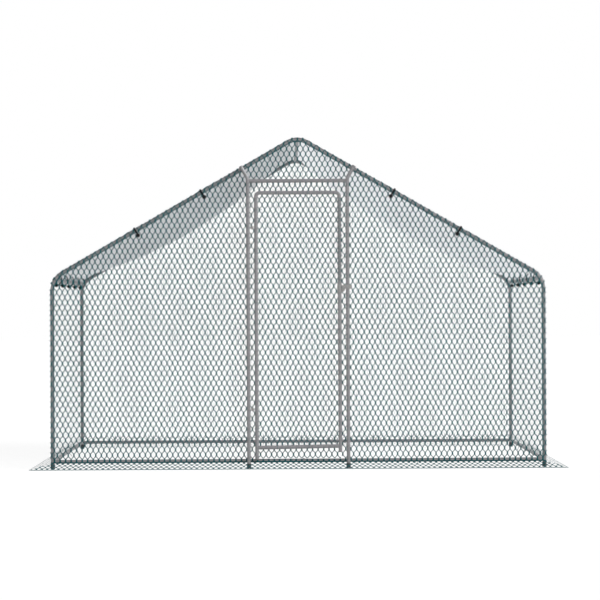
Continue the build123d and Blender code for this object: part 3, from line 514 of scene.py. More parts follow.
# Nets of twisted wire
def lattice(u_span, v_span, wire, angles, fill):
    """Lines of (u, v, lift, size) along the wires of a hexagonal net. Each wire zigzags between two columns
    and turns with one neighbour or the other at every row."""
    half_width, half_depth = wire
    first_column = math.floor((u_span[0] - LATTICE_U) / (CELL / 2)) - 2
    last_column = math.ceil((u_span[1] - LATTICE_U) / (CELL / 2)) + 2
    first_row = math.floor((v_span[0] - LATTICE_V) / ROW) - 1
    last_row = math.ceil((v_span[1] - LATTICE_V) / ROW) + 1
    columns, rows = np.arange(first_column, last_column), np.arange(first_row, last_row + 1)
    strand, row = np.meshgrid(columns, rows, indexing="ij")
    crossed = (strand + row) % 2
    column = strand + crossed
    shift = rng.normal(0, NET_JITTER, (len(columns) + 1, len(rows), 2))
    shift = shift[column - first_column, row - first_row]
    hand = (1 - 2 * crossed)[..., None]
    turn = np.radians(angles)
    along = np.linspace(-0.5, 0.5, len(angles)) * TWIST
    u = (column * CELL / 2 + LATTICE_U + shift[..., 0])[..., None] + hand * half_width * np.cos(turn)
    v = (row * ROW + LATTICE_V + shift[..., 1])[..., None] + along
    lift = hand * 0.5 * half_depth * np.sin(turn)
    size_share = 1 + fill * np.abs(np.sin(turn))
    return np.stack(np.broadcast_arrays(u, v, lift, size_share), -1).reshape(u.shape[0], -1, 4)


def clipped(line, depth):
    """The runs of a line that lie where depth is positive, cut at the edge."""
    deep = depth(line[:, 0], line[:, 1])
    inside = deep > 0
    edges = np.flatnonzero(inside[1:] != inside[:-1])
    share = deep[edges] / (deep[edges] - deep[edges + 1])
    cuts = line[edges] + (line[edges + 1] - line[edges]) * share[:, None]
    runs = []
    for number, span in enumerate(np.split(np.arange(len(line)), edges + 1)):
        if inside[span[0]]:
            head = cuts[number - 1:number] if number else line[:0]
            runs.append(np.concatenate([head, line[span], cuts[number:number + 1]]))
    return runs


def refined(run, is_curved):
    """The run with extra points where its surface curves."""
    curved = is_curved(run[:, 0], run[:, 1])
    counts = np.where(curved[1:] | curved[:-1], CURVE_PARTS, 1)
    index = np.repeat(np.arange(len(counts)), counts)
    share = np.concatenate([np.arange(count) / count for count in counts])
    points = run[index] + (run[index + 1] - run[index]) * share[:, None]
    return np.concatenate([points, run[-1:]])


def slack_wave(u, v):
    """Gentle unevenness of a hung net, from 0 to 1: long waves, with shorter slanting ones over them."""
    long_waves = np.sin(5.1 * u + 1.3) * np.sin(4.3 * v + 0.4)
    slanting = 0.6 * np.sin(11.0 * u - 7.0 * v + 2.0)
    return np.clip(0.5 + 0.32 * (long_waves + slanting), 0, 1)


def stray_wave(u, v):
    """How the cells of a net stray along it and up it, from -1 to 1."""
    return np.sin(6.0 * v + 2.0 * u), np.sin(5.0 * u - 3.0 * v + 1.0)


def nowhere(u, v):
    return np.zeros(len(u), bool)


class Net:
    """One net: its surface, its outline as a depth inside the edge, and its wire."""

    def __init__(self, place, depth, wire, slack=NET_SLACK, push=nowhere, is_curved=nowhere, wander=0):
        self.place, self.depth, self.wire = place, depth, wire
        self.slack, self.push, self.is_curved, self.wander = slack, push, is_curved, wander
        turn = turns(WIRE_SIDES)
        self.section = 1 / np.hypot(np.cos(turn) / wire[0], np.sin(turn) / wire[1])
        self.tubes = TubeSet()

    def add_run(self, run):
        """A wire along a run of (u, v, lift, size), on the slack net."""
        u, v = run[:, 0], run[:, 1]
        distance, power = NET_EASE
        free = np.clip(self.depth(u, v) / distance, 0, 1) ** power
        lift = run[:, 2] + WIRE_RISE * self.wire[1] - self.slack * free * slack_wave(u, v) - self.push(u, v)
        stray_u, stray_v = stray_wave(u, v)
        u, v = u + self.wander * free * stray_u, v + self.wander * free * stray_v
        points = self.place(u, v, lift)
        normals = self.place(u, v, lift + SMALL_STEP) - points
        self.tubes.add(points, normals, run[:, 3:] * self.section, WIRE_SIDES)

    def weave(self, u_span, v_span, angles, fill=TWIST_FILL):
        """The wires of the lattice inside the outline."""
        for line in lattice(u_span, v_span, self.wire, angles, fill):
            for run in clipped(line, self.depth):
                if len(run) > 1:
                    self.add_run(refined(run, self.is_curved))

    def edge(self, corners, share=EDGE_SHARE, step=EDGE_STEP):
        """A wire along the net, from point to point, with a share of the net's wire size."""
        line = []
        for start, end in zip(corners, corners[1:]):
            number = max(2, int(math.dist(start, end) / step))
            line += [(*point, 0, share) for point in np.linspace(start, end, number, endpoint=False)]
        self.add_run(np.array([*line, (*corners[-1], 0, share)]))

    def piece(self, node, body="frame"):
        self.tubes.piece(node.removesuffix("_net") + "_netting", body, replaces=[node])


def hole_depth(u, v, holes):
    """Depth outside a set of round holes."""
    return least(*(np.hypot(u - hole_u, v - hole_v) - radius for hole_u, hole_v, radius in holes))


def over_eave(u, v):
    return v > EAVE_CENTRE_Z


def at_apron_bend(u, v):
    return np.abs(NET_FOOT - v - APRON_DROP) < APRON_ARC + APRON_BEND_ROOM


def frame_rim():
    """Points of the lacing wire along an end frame, from the left foot to the right foot."""
    past_eave = EAVE_CENTRE_Z + EAVE_R * EAVE_TURN
    slope = SLOPE_TOP - EAVE_TANGENT
    half = past_eave + slope + RIDGE_R * PITCH
    travel = np.linspace(0, 2 * half, int(2 * half / RIM_STEP))
    mirror = np.where(travel > half, -1.0, 1.0)
    travel = np.minimum(travel, 2 * half - travel)
    eave_turn = np.clip((travel - EAVE_CENTRE_Z) / EAVE_R, 0, EAVE_TURN)
    up = np.clip(travel - past_eave, 0, slope)
    ridge_turn = PITCH - np.maximum(travel - past_eave - slope, 0) / RIDGE_R
    eave_r, ridge_r = EAVE_R - RIM_IN, RIDGE_R - RIM_IN
    x = up * COS - EAVE_CENTRE_X - eave_r * np.cos(eave_turn) + ridge_r * (SIN - np.sin(ridge_turn))
    z = up * SIN + np.minimum(travel, EAVE_CENTRE_Z) + eave_r * np.sin(eave_turn)
    z += ridge_r * (np.cos(ridge_turn) - COS)
    return np.stack([mirror * x, z], -1)


# Where bolts, the latch and the bungee loops pass through the nets
SADDLE_HOLE_R = 0.0135
LATCH_HOLE_R = 0.010
CORD_HOLE_R = 0.007
CROSSING_POINTS = 8  # of a loop's points, those nearest to a net
BOLT_HEAD_R = 0.005
LATCH_PUSH = 0.0045
PUSH_MIDDLE = (LATCH.x + 0.02, LATCH.z + 0.015)
PUSH_HALF = (0.035, 0.04)  # of the stretch that gives way fully
PUSH_EASE = 0.07  # from that stretch to where the net lies flat again
POST_HEAD_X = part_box("post_bolts")[1].x - BOLT_HEAD_R


def cord_holes(end):
    """Where the bungee loops round the rafters of one end pass through its net."""
    holes = []
    for group in clusters("bungee_cords"):
        centre = box_middle(group)
        if end * centre[1] > RUN:
            lower = group[group[:, 2] < centre[2]]
            nearest = np.abs(end * lower[:, 1] - RUN - TUBE_R - NET_GAP).argsort()[:CROSSING_POINTS]
            crossing = lower[nearest].mean(0)
            holes.append((crossing[0], crossing[2], CORD_HOLE_R))
    return holes


back_holes = cord_holes(1)
front_holes = [(LATCH.x, LATCH.z, LATCH_HOLE_R), *cord_holes(-1)]
for side, _ in SIDES:
    front_holes.append((side * DOOR_POST_X, RAIL_Z, SADDLE_HOLE_R))
    front_holes.append((side * POST_HEAD_X, APEX_Z - POST_HEAD_X * SIN / COS, SADDLE_HOLE_R))


def latch_push(u, v):
    """The front right net gives way behind the latch."""
    beside = np.maximum(np.abs(u - PUSH_MIDDLE[0]) - PUSH_HALF[0], 0)
    over = np.maximum(np.abs(v - PUSH_MIDDLE[1]) - PUSH_HALF[1], 0)
    return LATCH_PUSH * eased(1 - np.hypot(beside, over) / PUSH_EASE)


# Depths inside the outlines of the nets
def in_frame(u, v):
    return NET_TEETH - frame_distance(u, v)


def front_depth(side, u, v):
    return least(in_frame(u, v), side * u - DOORWAY_X, v - NET_FOOT, hole_depth(u, v, front_holes))


def gable_depth(u, v):
    return least(in_frame(u, v), DOORWAY_X - np.abs(u), v - GABLE_FOOT, NET_TOP - v)


def back_depth(u, v):
    return least(in_frame(u, v), v - NET_FOOT, NET_TOP - v, hole_depth(u, v, back_holes))


def door_depth(u, v):
    beside_collar = COLLAR_LOW.x - COLLAR_GAP - u
    over_collar = np.maximum(COLLAR_LOW.z - v, v - COLLAR_HIGH.z) - COLLAR_GAP
    off_collar = np.maximum(beside_collar, over_collar)
    return least(DOOR_NET_PAST - door_distance(u, v), v - DOOR_NET_FOOT, off_collar)


def side_depth(u, v):
    return least(SIDE_END - np.abs(u), v - NET_FOOT, SIDE_TOP - v)


def build_nets():
    front = partial(flat_wall, -RUN - TUBE_R, -1)
    rim = frame_rim()
    foot = NET_FOOT + FRONT_WIRE[0]
    for side, side_name in SIDES:
        push = latch_push if side_name == "right" else nowhere
        net = Net(front, partial(front_depth, side), FRONT_WIRE, push=push)
        span = sorted((side * DOORWAY_X, side * (SPAN + CELL)))
        net.weave(span, (NET_FOOT, RIDGE_Z), FULL_TWIST)
        net.edge(rim[(side * rim[:, 0] > DOORWAY_X) & (rim[:, 1] > NET_FOOT)], RIM_SHARE)
        net.edge([(side * DOORWAY_X, foot), (side * (SPAN + TUBE_R), foot)], FOOT_SHARE)
        net.piece(f"front_{side_name}_net")
    net = Net(front, gable_depth, FRONT_WIRE)
    net.weave((-DOORWAY_X, DOORWAY_X), (GABLE_FOOT, RIDGE_Z + ROW), FULL_TWIST)
    net.edge(rim[(np.abs(rim[:, 0]) < DOORWAY_X) & (rim[:, 1] > GABLE_FOOT)], RIM_SHARE)
    net.piece("front_gable_net")
    net = Net(partial(flat_wall, RUN + TUBE_R, 1), back_depth, BACK_WIRE, wander=BACK_NET_WANDER)
    net.weave((-SPAN - CELL, SPAN + CELL), (NET_FOOT, RIDGE_Z + ROW), PLAIN_TWIST)
    net.piece("back_net")
    end_u, top_v = SIDE_END - SIDE_EDGE_IN, SIDE_TOP - SIDE_EDGE_IN
    for side, side_name in SIDES:
        net = Net(partial(side_wall, side), side_depth, SIDE_WIRE, is_curved=over_eave)
        net.weave((-RUN, RUN), (NET_FOOT, SIDE_TOP), PLAIN_TWIST)
        for end in (-1, 1):
            net.edge([(end * end_u, NET_FOOT), (end * end_u, SIDE_TOP)])
        net.edge([(-SIDE_END, top_v), (SIDE_END, top_v)])
        net.piece(f"{side_name}_net")
    door = partial(flat_wall, DOOR_Y + DOOR_TUBE_R, 1)
    net = Net(door, door_depth, FRONT_WIRE, slack=DOOR_NET_SLACK)
    net.weave((-STILE_X - CELL, STILE_X + CELL), (DOOR_NET_FOOT, DOOR_TOP + ROW), FULL_TWIST)
    net.piece("door_net", "door")


FOOT_HOLE_R = 0.0175
MITRE_GAP = 0.0015
THRESHOLD = 0.020  # of the front apron, up over the rail in the doorway
APRON_EDGE_STEP = 0.05
foot_holes = [(side * DOOR_POST_X, -DOOR_Y - RUN - TUBE_R, FOOT_HOLE_R) for side, _ in SIDES]


def apron_depth(is_front, half, start, u, v):
    travel = NET_FOOT - v
    out = apron_section(travel, 0.0)[0] + start
    deep = least(APRON_LENGTH - travel, half + out - MITRE_GAP - np.abs(u))
    if not is_front:
        return least(deep, travel + APRON_OVERLAP)
    in_doorway = least(travel + THRESHOLD, DOORWAY_X - np.abs(u))
    return least(deep, np.maximum(travel, in_doorway), hole_depth(u, out, foot_holes))


def build_aprons():
    walls = {"front": ("y", -1), "back": ("y", 1), "left": ("x", -1), "right": ("x", 1)}
    for name, (axis, facing) in walls.items():
        half = (SPAN if axis == "y" else RUN) + TUBE_R
        wire, start = (FRONT_APRON_WIRE, NET_GAP) if name == "front" else (APRON_WIRE, APRON_START)
        place = partial(apron_surface, axis, facing, start)
        depth = partial(apron_depth, name == "front", half, start)
        net = Net(place, depth, wire, slack=0.0, is_curved=at_apron_bend)
        outer, foot = half + APRON_REACH, NET_FOOT - APRON_LENGTH
        net.weave((-outer, outer), (foot, NET_FOOT + APRON_OVERLAP), FULL_TWIST, fill=0)
        edge = outer - MITRE_GAP - 2 * wire[0]
        net.edge([(-edge, foot + wire[0]), (edge, foot + wire[0])], step=APRON_EDGE_STEP)
        if name == "front":
            sill = NET_FOOT + wire[0]
            net.edge([(-DOORWAY_X, sill), (DOORWAY_X, sill)], FOOT_SHARE)
        net.piece(f"{name}_apron")


# Roof cover
COVER_THICKNESS = 0.0012
COVER_RISE = TUBE_R + 0.0016  # of the cover's middle over the tubes' axes
COVER_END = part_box("roof_cover")[1].y
COVER_GRID = 0.02
COVER_ARC = PITCH * (RIDGE_R + COVER_RISE)
COVER_LOW_EDGE = -0.014  # along the slope, from the eave corner
COVER_STRAIGHT = SLOPE_TOP - COVER_LOW_EDGE
COVER_HALF = COVER_ARC + COVER_STRAIGHT
EYELET_HOLE_R = 0.0066
HOLE_SIDES = 20
HOLE_ROOM = 0.005  # from a hole to the nearest points of the grid
HOLE_INSIDE = 0.98  # the share of a hole's radius in which no triangle's middle stays
HEM_WIDTH = 0.026
HEM_THICKNESS = 0.0006
HEM_LINES = 4
HEM_GAP = 0.004  # between the ends' hems and the eaves'

# Slack of the cover
COVER_SAG = 0.130
COVER_SLACK_Y = 0.945  # the sag starts inside the eyelets
SAG_STARTS = (COVER_ARC, 0.012)  # from the ridge, left and right
SAG_FORMS = (0.65, 0.50)  # lower is steeper at the ridge
SAG_LENGTHS = (2, 4)  # higher reaches nearer to the ends
SAG_END_FORM = 1.2  # higher is gentler at the end frames
SAG_TO_EAVE = 0.08  # from the end of the sag to the eave's edge
LONG_CREASE, SHORT_CREASE = 0.003, 0.0018  # heights of the creases in the sag
EYELET_CREASE = 0.0022  # height of the creases that spread from an eyelet
EYELET_CREASES = 5
CREASE_START, CREASE_RISE, CREASE_REACH = 0.012, 0.03, 0.11  # distances from the eyelet
EAVE_BAND = 0.1  # the eyelets this near to an eave's edge are the eave's
EYELET_SPAN = 0.2  # from an eyelet to where the edge is free of it
FLAP_WIDTH = 0.045
FLAP_DROOP, FLAP_DROOP_MORE = 0.003, 0.006  # at an eyelet, and the rest between them
EAVE_SCALLOP, EAVE_SCALLOP_WIDTH = 0.005, 0.06  # how far an edge is drawn in, and how far that reaches
END_SCALLOP, END_SCALLOP_WIDTH = 0.003, 0.03
EAVE_CURL = (0.039, 0.028)  # length and radius of the edge drawn over the eave
BEND_CURL = (EAVE_TANGENT - COVER_LOW_EDGE, EAVE_R + COVER_RISE)
BEND_CURL_FROM, BEND_CURL_TO = 0.86, 0.95  # from the middle, where the edge comes to lie on the bends


def cut_place(point):
    """Where a point of a slope is on the flat cut: from the ridge, positive to the right, and along Y."""
    along = (SPAN - abs(point[0])) * COS + (point[2] - EAVE_Z) * SIN
    return math.copysign(COVER_HALF - (along - COVER_LOW_EDGE), point[0]), point[1]


eyelet_places = np.array([cut_place(box_middle(group)) for group in clusters("cover_eyelets")])


def from_eave_eyelets(y):
    """0 at an eyelet of the eaves, 1 where the edge is free of them."""
    at_eave = np.abs(eyelet_places[:, 0]) > COVER_HALF - EAVE_BAND
    nearest = np.abs(y[..., None] - eyelet_places[at_eave, 1]).min(-1)
    return np.clip(nearest / EYELET_SPAN, 0, 1)


def near_edge(distance, width):
    """1 at an edge, and 0 further from it than a width."""
    return np.clip(1 - distance / width, 0, 1)


def bay_sag(s, y):
    """Height of the sag between the end frames, with the creases in it."""
    start, form, length = (np.where(s < 0, *pair) for pair in (SAG_STARTS, SAG_FORMS, SAG_LENGTHS))
    bay = np.clip((np.abs(s) - start) / (COVER_HALF - SAG_TO_EAVE - start), 0, 1)
    across = np.clip(np.abs(y) / COVER_SLACK_Y, 0, 1)
    slack = np.sin(math.pi * bay) ** form * (1 - across**length) ** SAG_END_FORM
    creases = LONG_CREASE * np.sin(9 * y + 3 * s) + SHORT_CREASE * np.sin(5 * y - 17 * s + 1.0)
    return slack * (creases - COVER_SAG)


def eyelet_creases(s, y):
    """Height of the creases round the eyelets."""
    height = np.zeros_like(s)
    for number, (eyelet_s, eyelet_y) in enumerate(eyelet_places):
        ds, dy = s - eyelet_s, y - eyelet_y
        far = np.hypot(ds, dy)
        swell = np.exp(-((far / CREASE_REACH) ** 2)) * np.clip((far - CREASE_START) / CREASE_RISE, 0, 1)
        height += EYELET_CREASE * swell * np.cos(EYELET_CREASES * np.arctan2(dy, ds) + number)
    return height


def eave_droop(s, y):
    """How far the edges at the eaves droop, up to where they lie on the bends."""
    droop = FLAP_DROOP + FLAP_DROOP_MORE * from_eave_eyelets(y) ** 2
    return near_edge(COVER_HALF - np.abs(s), FLAP_WIDTH) * droop * (np.abs(y) < BEND_CURL_FROM)


def curled(travel, lift, curl):
    """Distance down the slope and height over it, for a sheet whose edge curls over."""
    length, radius = curl
    straight = np.clip(travel - COVER_ARC, 0, COVER_STRAIGHT - length)
    angle = np.maximum(travel - COVER_HALF + length, 0) / radius
    return np.array([straight + (radius + lift) * np.sin(angle), (radius + lift) * np.cos(angle) - radius])


def cover_point(s, y, above):
    """A point of the cover by its distances on the flat cut: over the ridge, down a slope, round an eave."""
    side = np.where(s < 0, -1.0, 1.0)
    travel = np.abs(s)
    angle = np.minimum(travel / COVER_ARC, 1) * PITCH
    lift = bay_sag(s, y) + eyelet_creases(s, y) - eave_droop(s, y) + above
    at_bend = eased((np.abs(y) - BEND_CURL_FROM) / (BEND_CURL_TO - BEND_CURL_FROM))
    between, on_bend = (curled(travel, lift, curl) for curl in (EAVE_CURL, BEND_CURL))
    along, height = between + (on_bend - between) * at_bend
    rise = RIDGE_R + COVER_RISE + height
    x = rise * np.sin(angle) + along * COS
    z = RIDGE_CENTRE_Z + rise * np.cos(angle) - along * SIN
    return np.stack([side * x, y, z], -1)


def scalloped(s, y):
    """The cut's points drawn in along the edges between the eyelets."""
    at_eave = near_edge(COVER_HALF - np.abs(s), EAVE_SCALLOP_WIDTH)
    s = s * (1 - EAVE_SCALLOP / COVER_HALF * at_eave * from_eave_eyelets(y) ** 2)
    at_end = near_edge(COVER_END - np.abs(y), END_SCALLOP_WIDTH)
    wave = 0.5 + 0.5 * np.sin(14 * np.abs(s) + 1.1)
    y = y * (1 - END_SCALLOP / COVER_END * at_end * wave)
    return s, y


def add_sheet(name, flat, above, thickness, replaces=()):
    """A closed sheet of a thickness from a flat mesh on the cut."""
    s, y, triangles = flat
    layers = [cover_point(*scalloped(s, y), above + share * thickness) for share in (0.5, -0.5)]
    number = len(s)
    corners = np.stack([triangles, np.roll(triangles, -1, 1)], -1).reshape(-1, 2)
    known = {tuple(edge) for edge in corners}
    rim = np.array([edge for edge in corners if (edge[1], edge[0]) not in known])
    walls = np.stack([rim[:, 1], rim[:, 0], rim[:, 0] + number, rim[:, 1] + number], -1)
    mesh = make_mesh(name, np.concatenate(layers), [triangles, triangles[:, ::-1] + number, walls])
    cut = [loop.vertex_index % number for loop in mesh.loops]
    mesh.uv_layers.new(name="cut").data.foreach_set("uv", np.stack([s[cut], y[cut]], -1).ravel())
    return add_piece(name, mesh, "frame", "cover_sheet", replaces)


def off_holes(points, holes, radius):
    """Which points lie further than a radius from the middles of all holes."""
    return (np.linalg.norm(points[:, None] - holes, axis=-1) > radius).all(1)


def flat_mesh(s_lines, y_lines, holes):
    """Triangles over a grid of lines on the cut, with round holes."""
    s, y = np.meshgrid(s_lines, y_lines, indexing="ij")
    grid = np.stack([s.ravel(), y.ravel()], -1)
    points = [Vector(point) for point in grid[off_holes(grid, holes, EYELET_HOLE_R + HOLE_ROOM)]]
    edges = []
    for centre in holes:
        start = len(points)
        ring = centre + EYELET_HOLE_R * circle(turns(HOLE_SIDES), (1, 0), (0, 1))
        points += [Vector(point) for point in ring]
        edges += [(start + i, start + (i + 1) % HOLE_SIDES) for i in range(HOLE_SIDES)]
    made = delaunay_2d_cdt(points, edges, [], 0, 1e-7)
    flat = np.array(made[0])
    triangles = np.array([list(face) for face in made[2]])
    solid = off_holes(flat[triangles].mean(1), holes, EYELET_HOLE_R * HOLE_INSIDE)
    return flat[:, 0], flat[:, 1], triangles[solid]


def build_cover():
    s_lines = np.linspace(-COVER_HALF, COVER_HALF, round(2 * COVER_HALF / COVER_GRID) + 1)
    y_lines = np.linspace(-COVER_END, COVER_END, round(2 * COVER_END / COVER_GRID) + 1)
    flat = flat_mesh(s_lines, y_lines, eyelet_places)
    sheet = add_sheet("roof_sheet", flat, 0.0, COVER_THICKNESS, ["roof_cover"])
    tubes_under = ["ridge_tube"]
    for end in ("front", "back"):
        tubes_under += [f"{end}_left_rafter", f"{end}_right_rafter", f"{end}_ridge_bend"]
    inner_s, inner_y = COVER_HALF - HEM_WIDTH, COVER_END - HEM_WIDTH
    between = s_lines[np.abs(s_lines) < inner_s - HEM_GAP]
    strips = {
        "left_hem": (np.linspace(-COVER_HALF, -inner_s, HEM_LINES), y_lines),
        "right_hem": (np.linspace(inner_s, COVER_HALF, HEM_LINES), y_lines),
        "front_hem": (between, np.linspace(-COVER_END, -inner_y, HEM_LINES)),
        "back_hem": (between, np.linspace(inner_y, COVER_END, HEM_LINES)),
    }
    above = (COVER_THICKNESS + HEM_THICKNESS) / 2
    for name, (strip_s, strip_y) in strips.items():
        flat = flat_mesh(strip_s, strip_y, eyelet_places[:0])
        add_sheet(name, flat, above, HEM_THICKNESS)


# Ball bungees
CORD_R = 0.0028
STRAND_GAP = 0.003  # from a loop's middle to each strand
CORD_FREE = {"rafter": 0.002, "eave": 0.0105}  # height over the cover up to which a loop stays round
CORD_PRESS = 0.004  # how much higher its flattened top may stand
LOOP_NARROWING = 0.07  # of a loop across the line through its ball, as a share of its radius
BRAID_YARNS = 3  # each way round the cord
BRAID_TURNS = 26
BRAID_RELIEF = 0.06  # as a share of the cord's radius
BRAID_SIDES = 12
BRAID_STEPS = 120
BALL_R = 0.0125
BALL_BORE_R = 0.0034
BALL_LIP = (0.002, 0.96)  # depth inside the mouth, and radius as a share of the bore's
BALL_SEAM = (0.0004, 0.05)  # height, and half width as an angle
BALL_ROUNDING = (0.0006, 0.12)  # depth at the mouths, and width as an angle
BALL_STEPS = 17
BALL_SIDES = 24


def pressed(line, free):
    """A loop drawn in to the frame where it stands more than a free height over the cover."""
    x, z = line[:, 0], line[:, 2]
    over = np.maximum(frame_distance(x, z) - COVER_RISE - free, 0)
    lower = over - CORD_PRESS * np.tanh(over / CORD_PRESS)
    out_x = (frame_distance(x + SMALL_STEP, z) - frame_distance(x - SMALL_STEP, z)) / (2 * SMALL_STEP)
    out_z = (frame_distance(x, z + SMALL_STEP) - frame_distance(x, z - SMALL_STEP)) / (2 * SMALL_STEP)
    return line - lower[:, None] * np.stack([out_x, np.zeros_like(x), out_z], -1)


def add_ball(balls, centre, axis, toward):
    """A ball with a bore for the cord, a rounded mouth and a raised seam."""
    mouth = math.acos(BALL_BORE_R / BALL_R)
    latitude = np.linspace(-mouth, mouth, BALL_STEPS)
    seam = BALL_SEAM[0] * np.exp(-((latitude / BALL_SEAM[1]) ** 2))
    rounding = BALL_ROUNDING[0] * np.exp(-(((np.abs(latitude) - mouth) / BALL_ROUNDING[1]) ** 2))
    radius = BALL_R + seam - rounding
    along, out = radius * np.sin(latitude), radius * np.cos(latitude)
    lip, lip_share = BALL_LIP
    along = np.append(along, [along[-1] - lip, along[0] + lip])
    out = np.append(out, [lip_share * BALL_BORE_R] * 2)
    ring = circle(turns(BALL_SIDES), toward, np.cross(axis, toward))
    balls.add_rings(centre + along[:, None, None] * axis + out[:, None, None] * ring, closed=True)


def build_bungees():
    cords = TubeSet()
    balls = TubeSet()
    turn, around = turns(BRAID_STEPS)[:, None], turns(BRAID_SIDES)[None]
    right = np.sin(BRAID_YARNS * around + BRAID_TURNS * turn)
    left = np.sin(BRAID_YARNS * around - BRAID_TURNS * turn)
    radius = CORD_R * (1 - BRAID_RELIEF + BRAID_RELIEF * np.maximum(right, left))
    narrow = 1 - LOOP_NARROWING * np.sin(turn) ** 2
    ball_centres = np.array([box_middle(group) for group in clusters("bungee_balls")])
    for group in clusters("bungee_cords"):
        centre = box_middle(group)
        axis = np.linalg.svd(group - centre, full_matrices=False)[2][2]
        ball = ball_centres[np.linalg.norm(ball_centres - centre, axis=1).argmin()]
        toward = unit(ball - centre - axis * ((ball - centre) @ axis))
        sideways = np.cross(axis, toward)
        reach = np.linalg.norm(group - centre, axis=1)
        loop_r = (reach.max() + reach.min()) / 2
        line = centre + loop_r * circle(turn[:, 0], toward, narrow * sideways)
        is_eave = abs(axis[1]) > abs(axis[0])
        for strand in (-STRAND_GAP, STRAND_GAP):
            beside = pressed(line + strand * np.sin(turn) * axis, CORD_FREE["eave" if is_eave else "rafter"])
            cords.add(beside, axis, radius, BRAID_SIDES, closed=True)
        add_ball(balls, ball, sideways, toward)
    cords.piece("bungee_loops", slot="black_elastic", replaces=["bungee_cords"])
    balls.piece("bungee_beads", slot="black_plastic", replaces=["bungee_balls"])


# Wire ties that hold the nets to the tubes
TIE_R = 0.0008
TIE_STEPS = 20
TIE_SIDES = 5
TIE_ROOM = 1.4  # for the net's wires, in half depths
TIE_LEAN = 0.0018  # along the tube
TAIL_LENGTH = 0.026
TAIL_TURNS = 3
TAIL_STEPS = 22
TAIL_SIDES = 4
TAIL_STRAY = 0.18  # of its direction
TAIL_OPENS = 0.8  # of its length, where its ends part
TAIL_OPENING = 1.5
TAIL_WIRE_SHARE = 0.95  # its wire's size, as a share of the tie's
TAIL_INWARD = 0.8
POST_TIES = (0.19, 0.47, 0.76, 0.98)  # heights on the corner posts
RAFTER_TIES = (0.22, 0.47, 0.80, 1.17, 1.50)  # up the slope from the eave corner
SIDE_TIES = (-0.8, -0.4, 0.0, 0.4, 0.8)  # along the side rails
EAVE_TIE_SHIFT = 0.17  # of the eave tubes' ties, along Y from those of the rails
END_TIES = -1.168 + 0.377 * np.arange(7)  # along the front and back rails
DOOR_POST_ROOM = 0.03
HINGE_STILE_TIES = (0.24, 0.62, 1.0, 1.3, 1.56)
LATCH_STILE_TIES = (0.22, 0.53, 0.84)
DOOR_RAIL_TIES = (-0.13, 0.06)  # on the hoop's top and on the door's rail
LACING_R = 0.0011
LACING_STEPS = 20  # in a turn, as high as a row of the net
LACING_ROOM = 2.9
LACING_FOOT = COLLAR_HIGH.z + 0.02
LACING_TOP = DOOR_TOP - HOOP_R - 0.01


def add_tie(ties, centre, axis, outward, tail, wire=FRONT_WIRE, tube_r=TUBE_R):
    """A loop of wire round a tube and the net on one face of it, with its ends twisted together."""
    axis, outward, tail = (unit(np.array(direction, float)) for direction in (axis, outward, tail))
    inner = tube_r + NET_GAP / 2 + TIE_ROOM * wire[1] + TIE_R
    middle_point = np.array(centre) + outward * (inner - tube_r - TIE_R)
    turn = turns(TIE_STEPS)
    lean = TIE_LEAN * np.sin(turn + rng.uniform(0, 2 * math.pi))[:, None] * axis
    ring = inner * circle(turn, outward, np.cross(axis, outward))
    ties.add(middle_point + ring + lean, axis, TIE_R, TIE_SIDES, closed=True)
    root = middle_point + tail * (inner + TIE_R / 2)
    tail = unit(tail + rng.normal(0, TAIL_STRAY, 3))
    cross = unit(np.cross(tail, axis))
    along = np.linspace(0, 1, TAIL_STEPS)
    spread = TIE_R * (1 + TAIL_OPENING * np.clip((along - TAIL_OPENS) / (1 - TAIL_OPENS), 0, 1))
    for strand in (0, math.pi):
        swing = spread[:, None] * circle(along * TAIL_TURNS * 2 * math.pi + strand, cross, axis)
        line = root + along[:, None] * TAIL_LENGTH * tail + swing
        ties.add(line, axis, TAIL_WIRE_SHARE * TIE_R, TAIL_SIDES)


def build_ties():
    ties = TubeSet()
    eave_out = (math.cos(EAVE_TURN / 2), math.sin(EAVE_TURN / 2))
    for side, _ in SIDES:
        for end, wire in ((-1, FRONT_WIRE), (1, BACK_WIRE)):
            outward = (0, end, 0)
            for z in POST_TIES:
                post = (side * SPAN, end * RUN, z)
                add_tie(ties, post, UP, outward, (-side, -end * TAIL_INWARD, 0.2), wire)
            for along in RAFTER_TIES:
                point = (side * (SPAN - along * COS), end * RUN, EAVE_Z + along * SIN)
                tail = (-side * SIN, -end * TAIL_INWARD, -COS)
                add_tie(ties, point, (-side * COS, 0, SIN), outward, tail, wire)
        for y in SIDE_TIES:
            rail = (side * SPAN, y, RAIL_Z)
            add_tie(ties, rail, BACK, (side, 0, 0), (-side * 0.6, 0.1, -1), SIDE_WIRE)
            eave = (side * EAVE_TUBE.x, y + EAVE_TIE_SHIFT, EAVE_TUBE.z)
            outward = (side * eave_out[0], 0, eave_out[1])
            add_tie(ties, eave, BACK, outward, (-side * 0.8, 0.1, -1), SIDE_WIRE)
    for x in END_TIES:
        add_tie(ties, (x, RUN, RAIL_Z), RIGHT, BACK, (0.1, -0.5, -1), BACK_WIRE)
        if abs(abs(x) - DOOR_POST_X) > DOOR_POST_ROOM:
            add_tie(ties, (x, -RUN, RAIL_Z), RIGHT, (0, -1, 0), (0.1, 0.8, -0.5))
    ties.piece("net_ties")


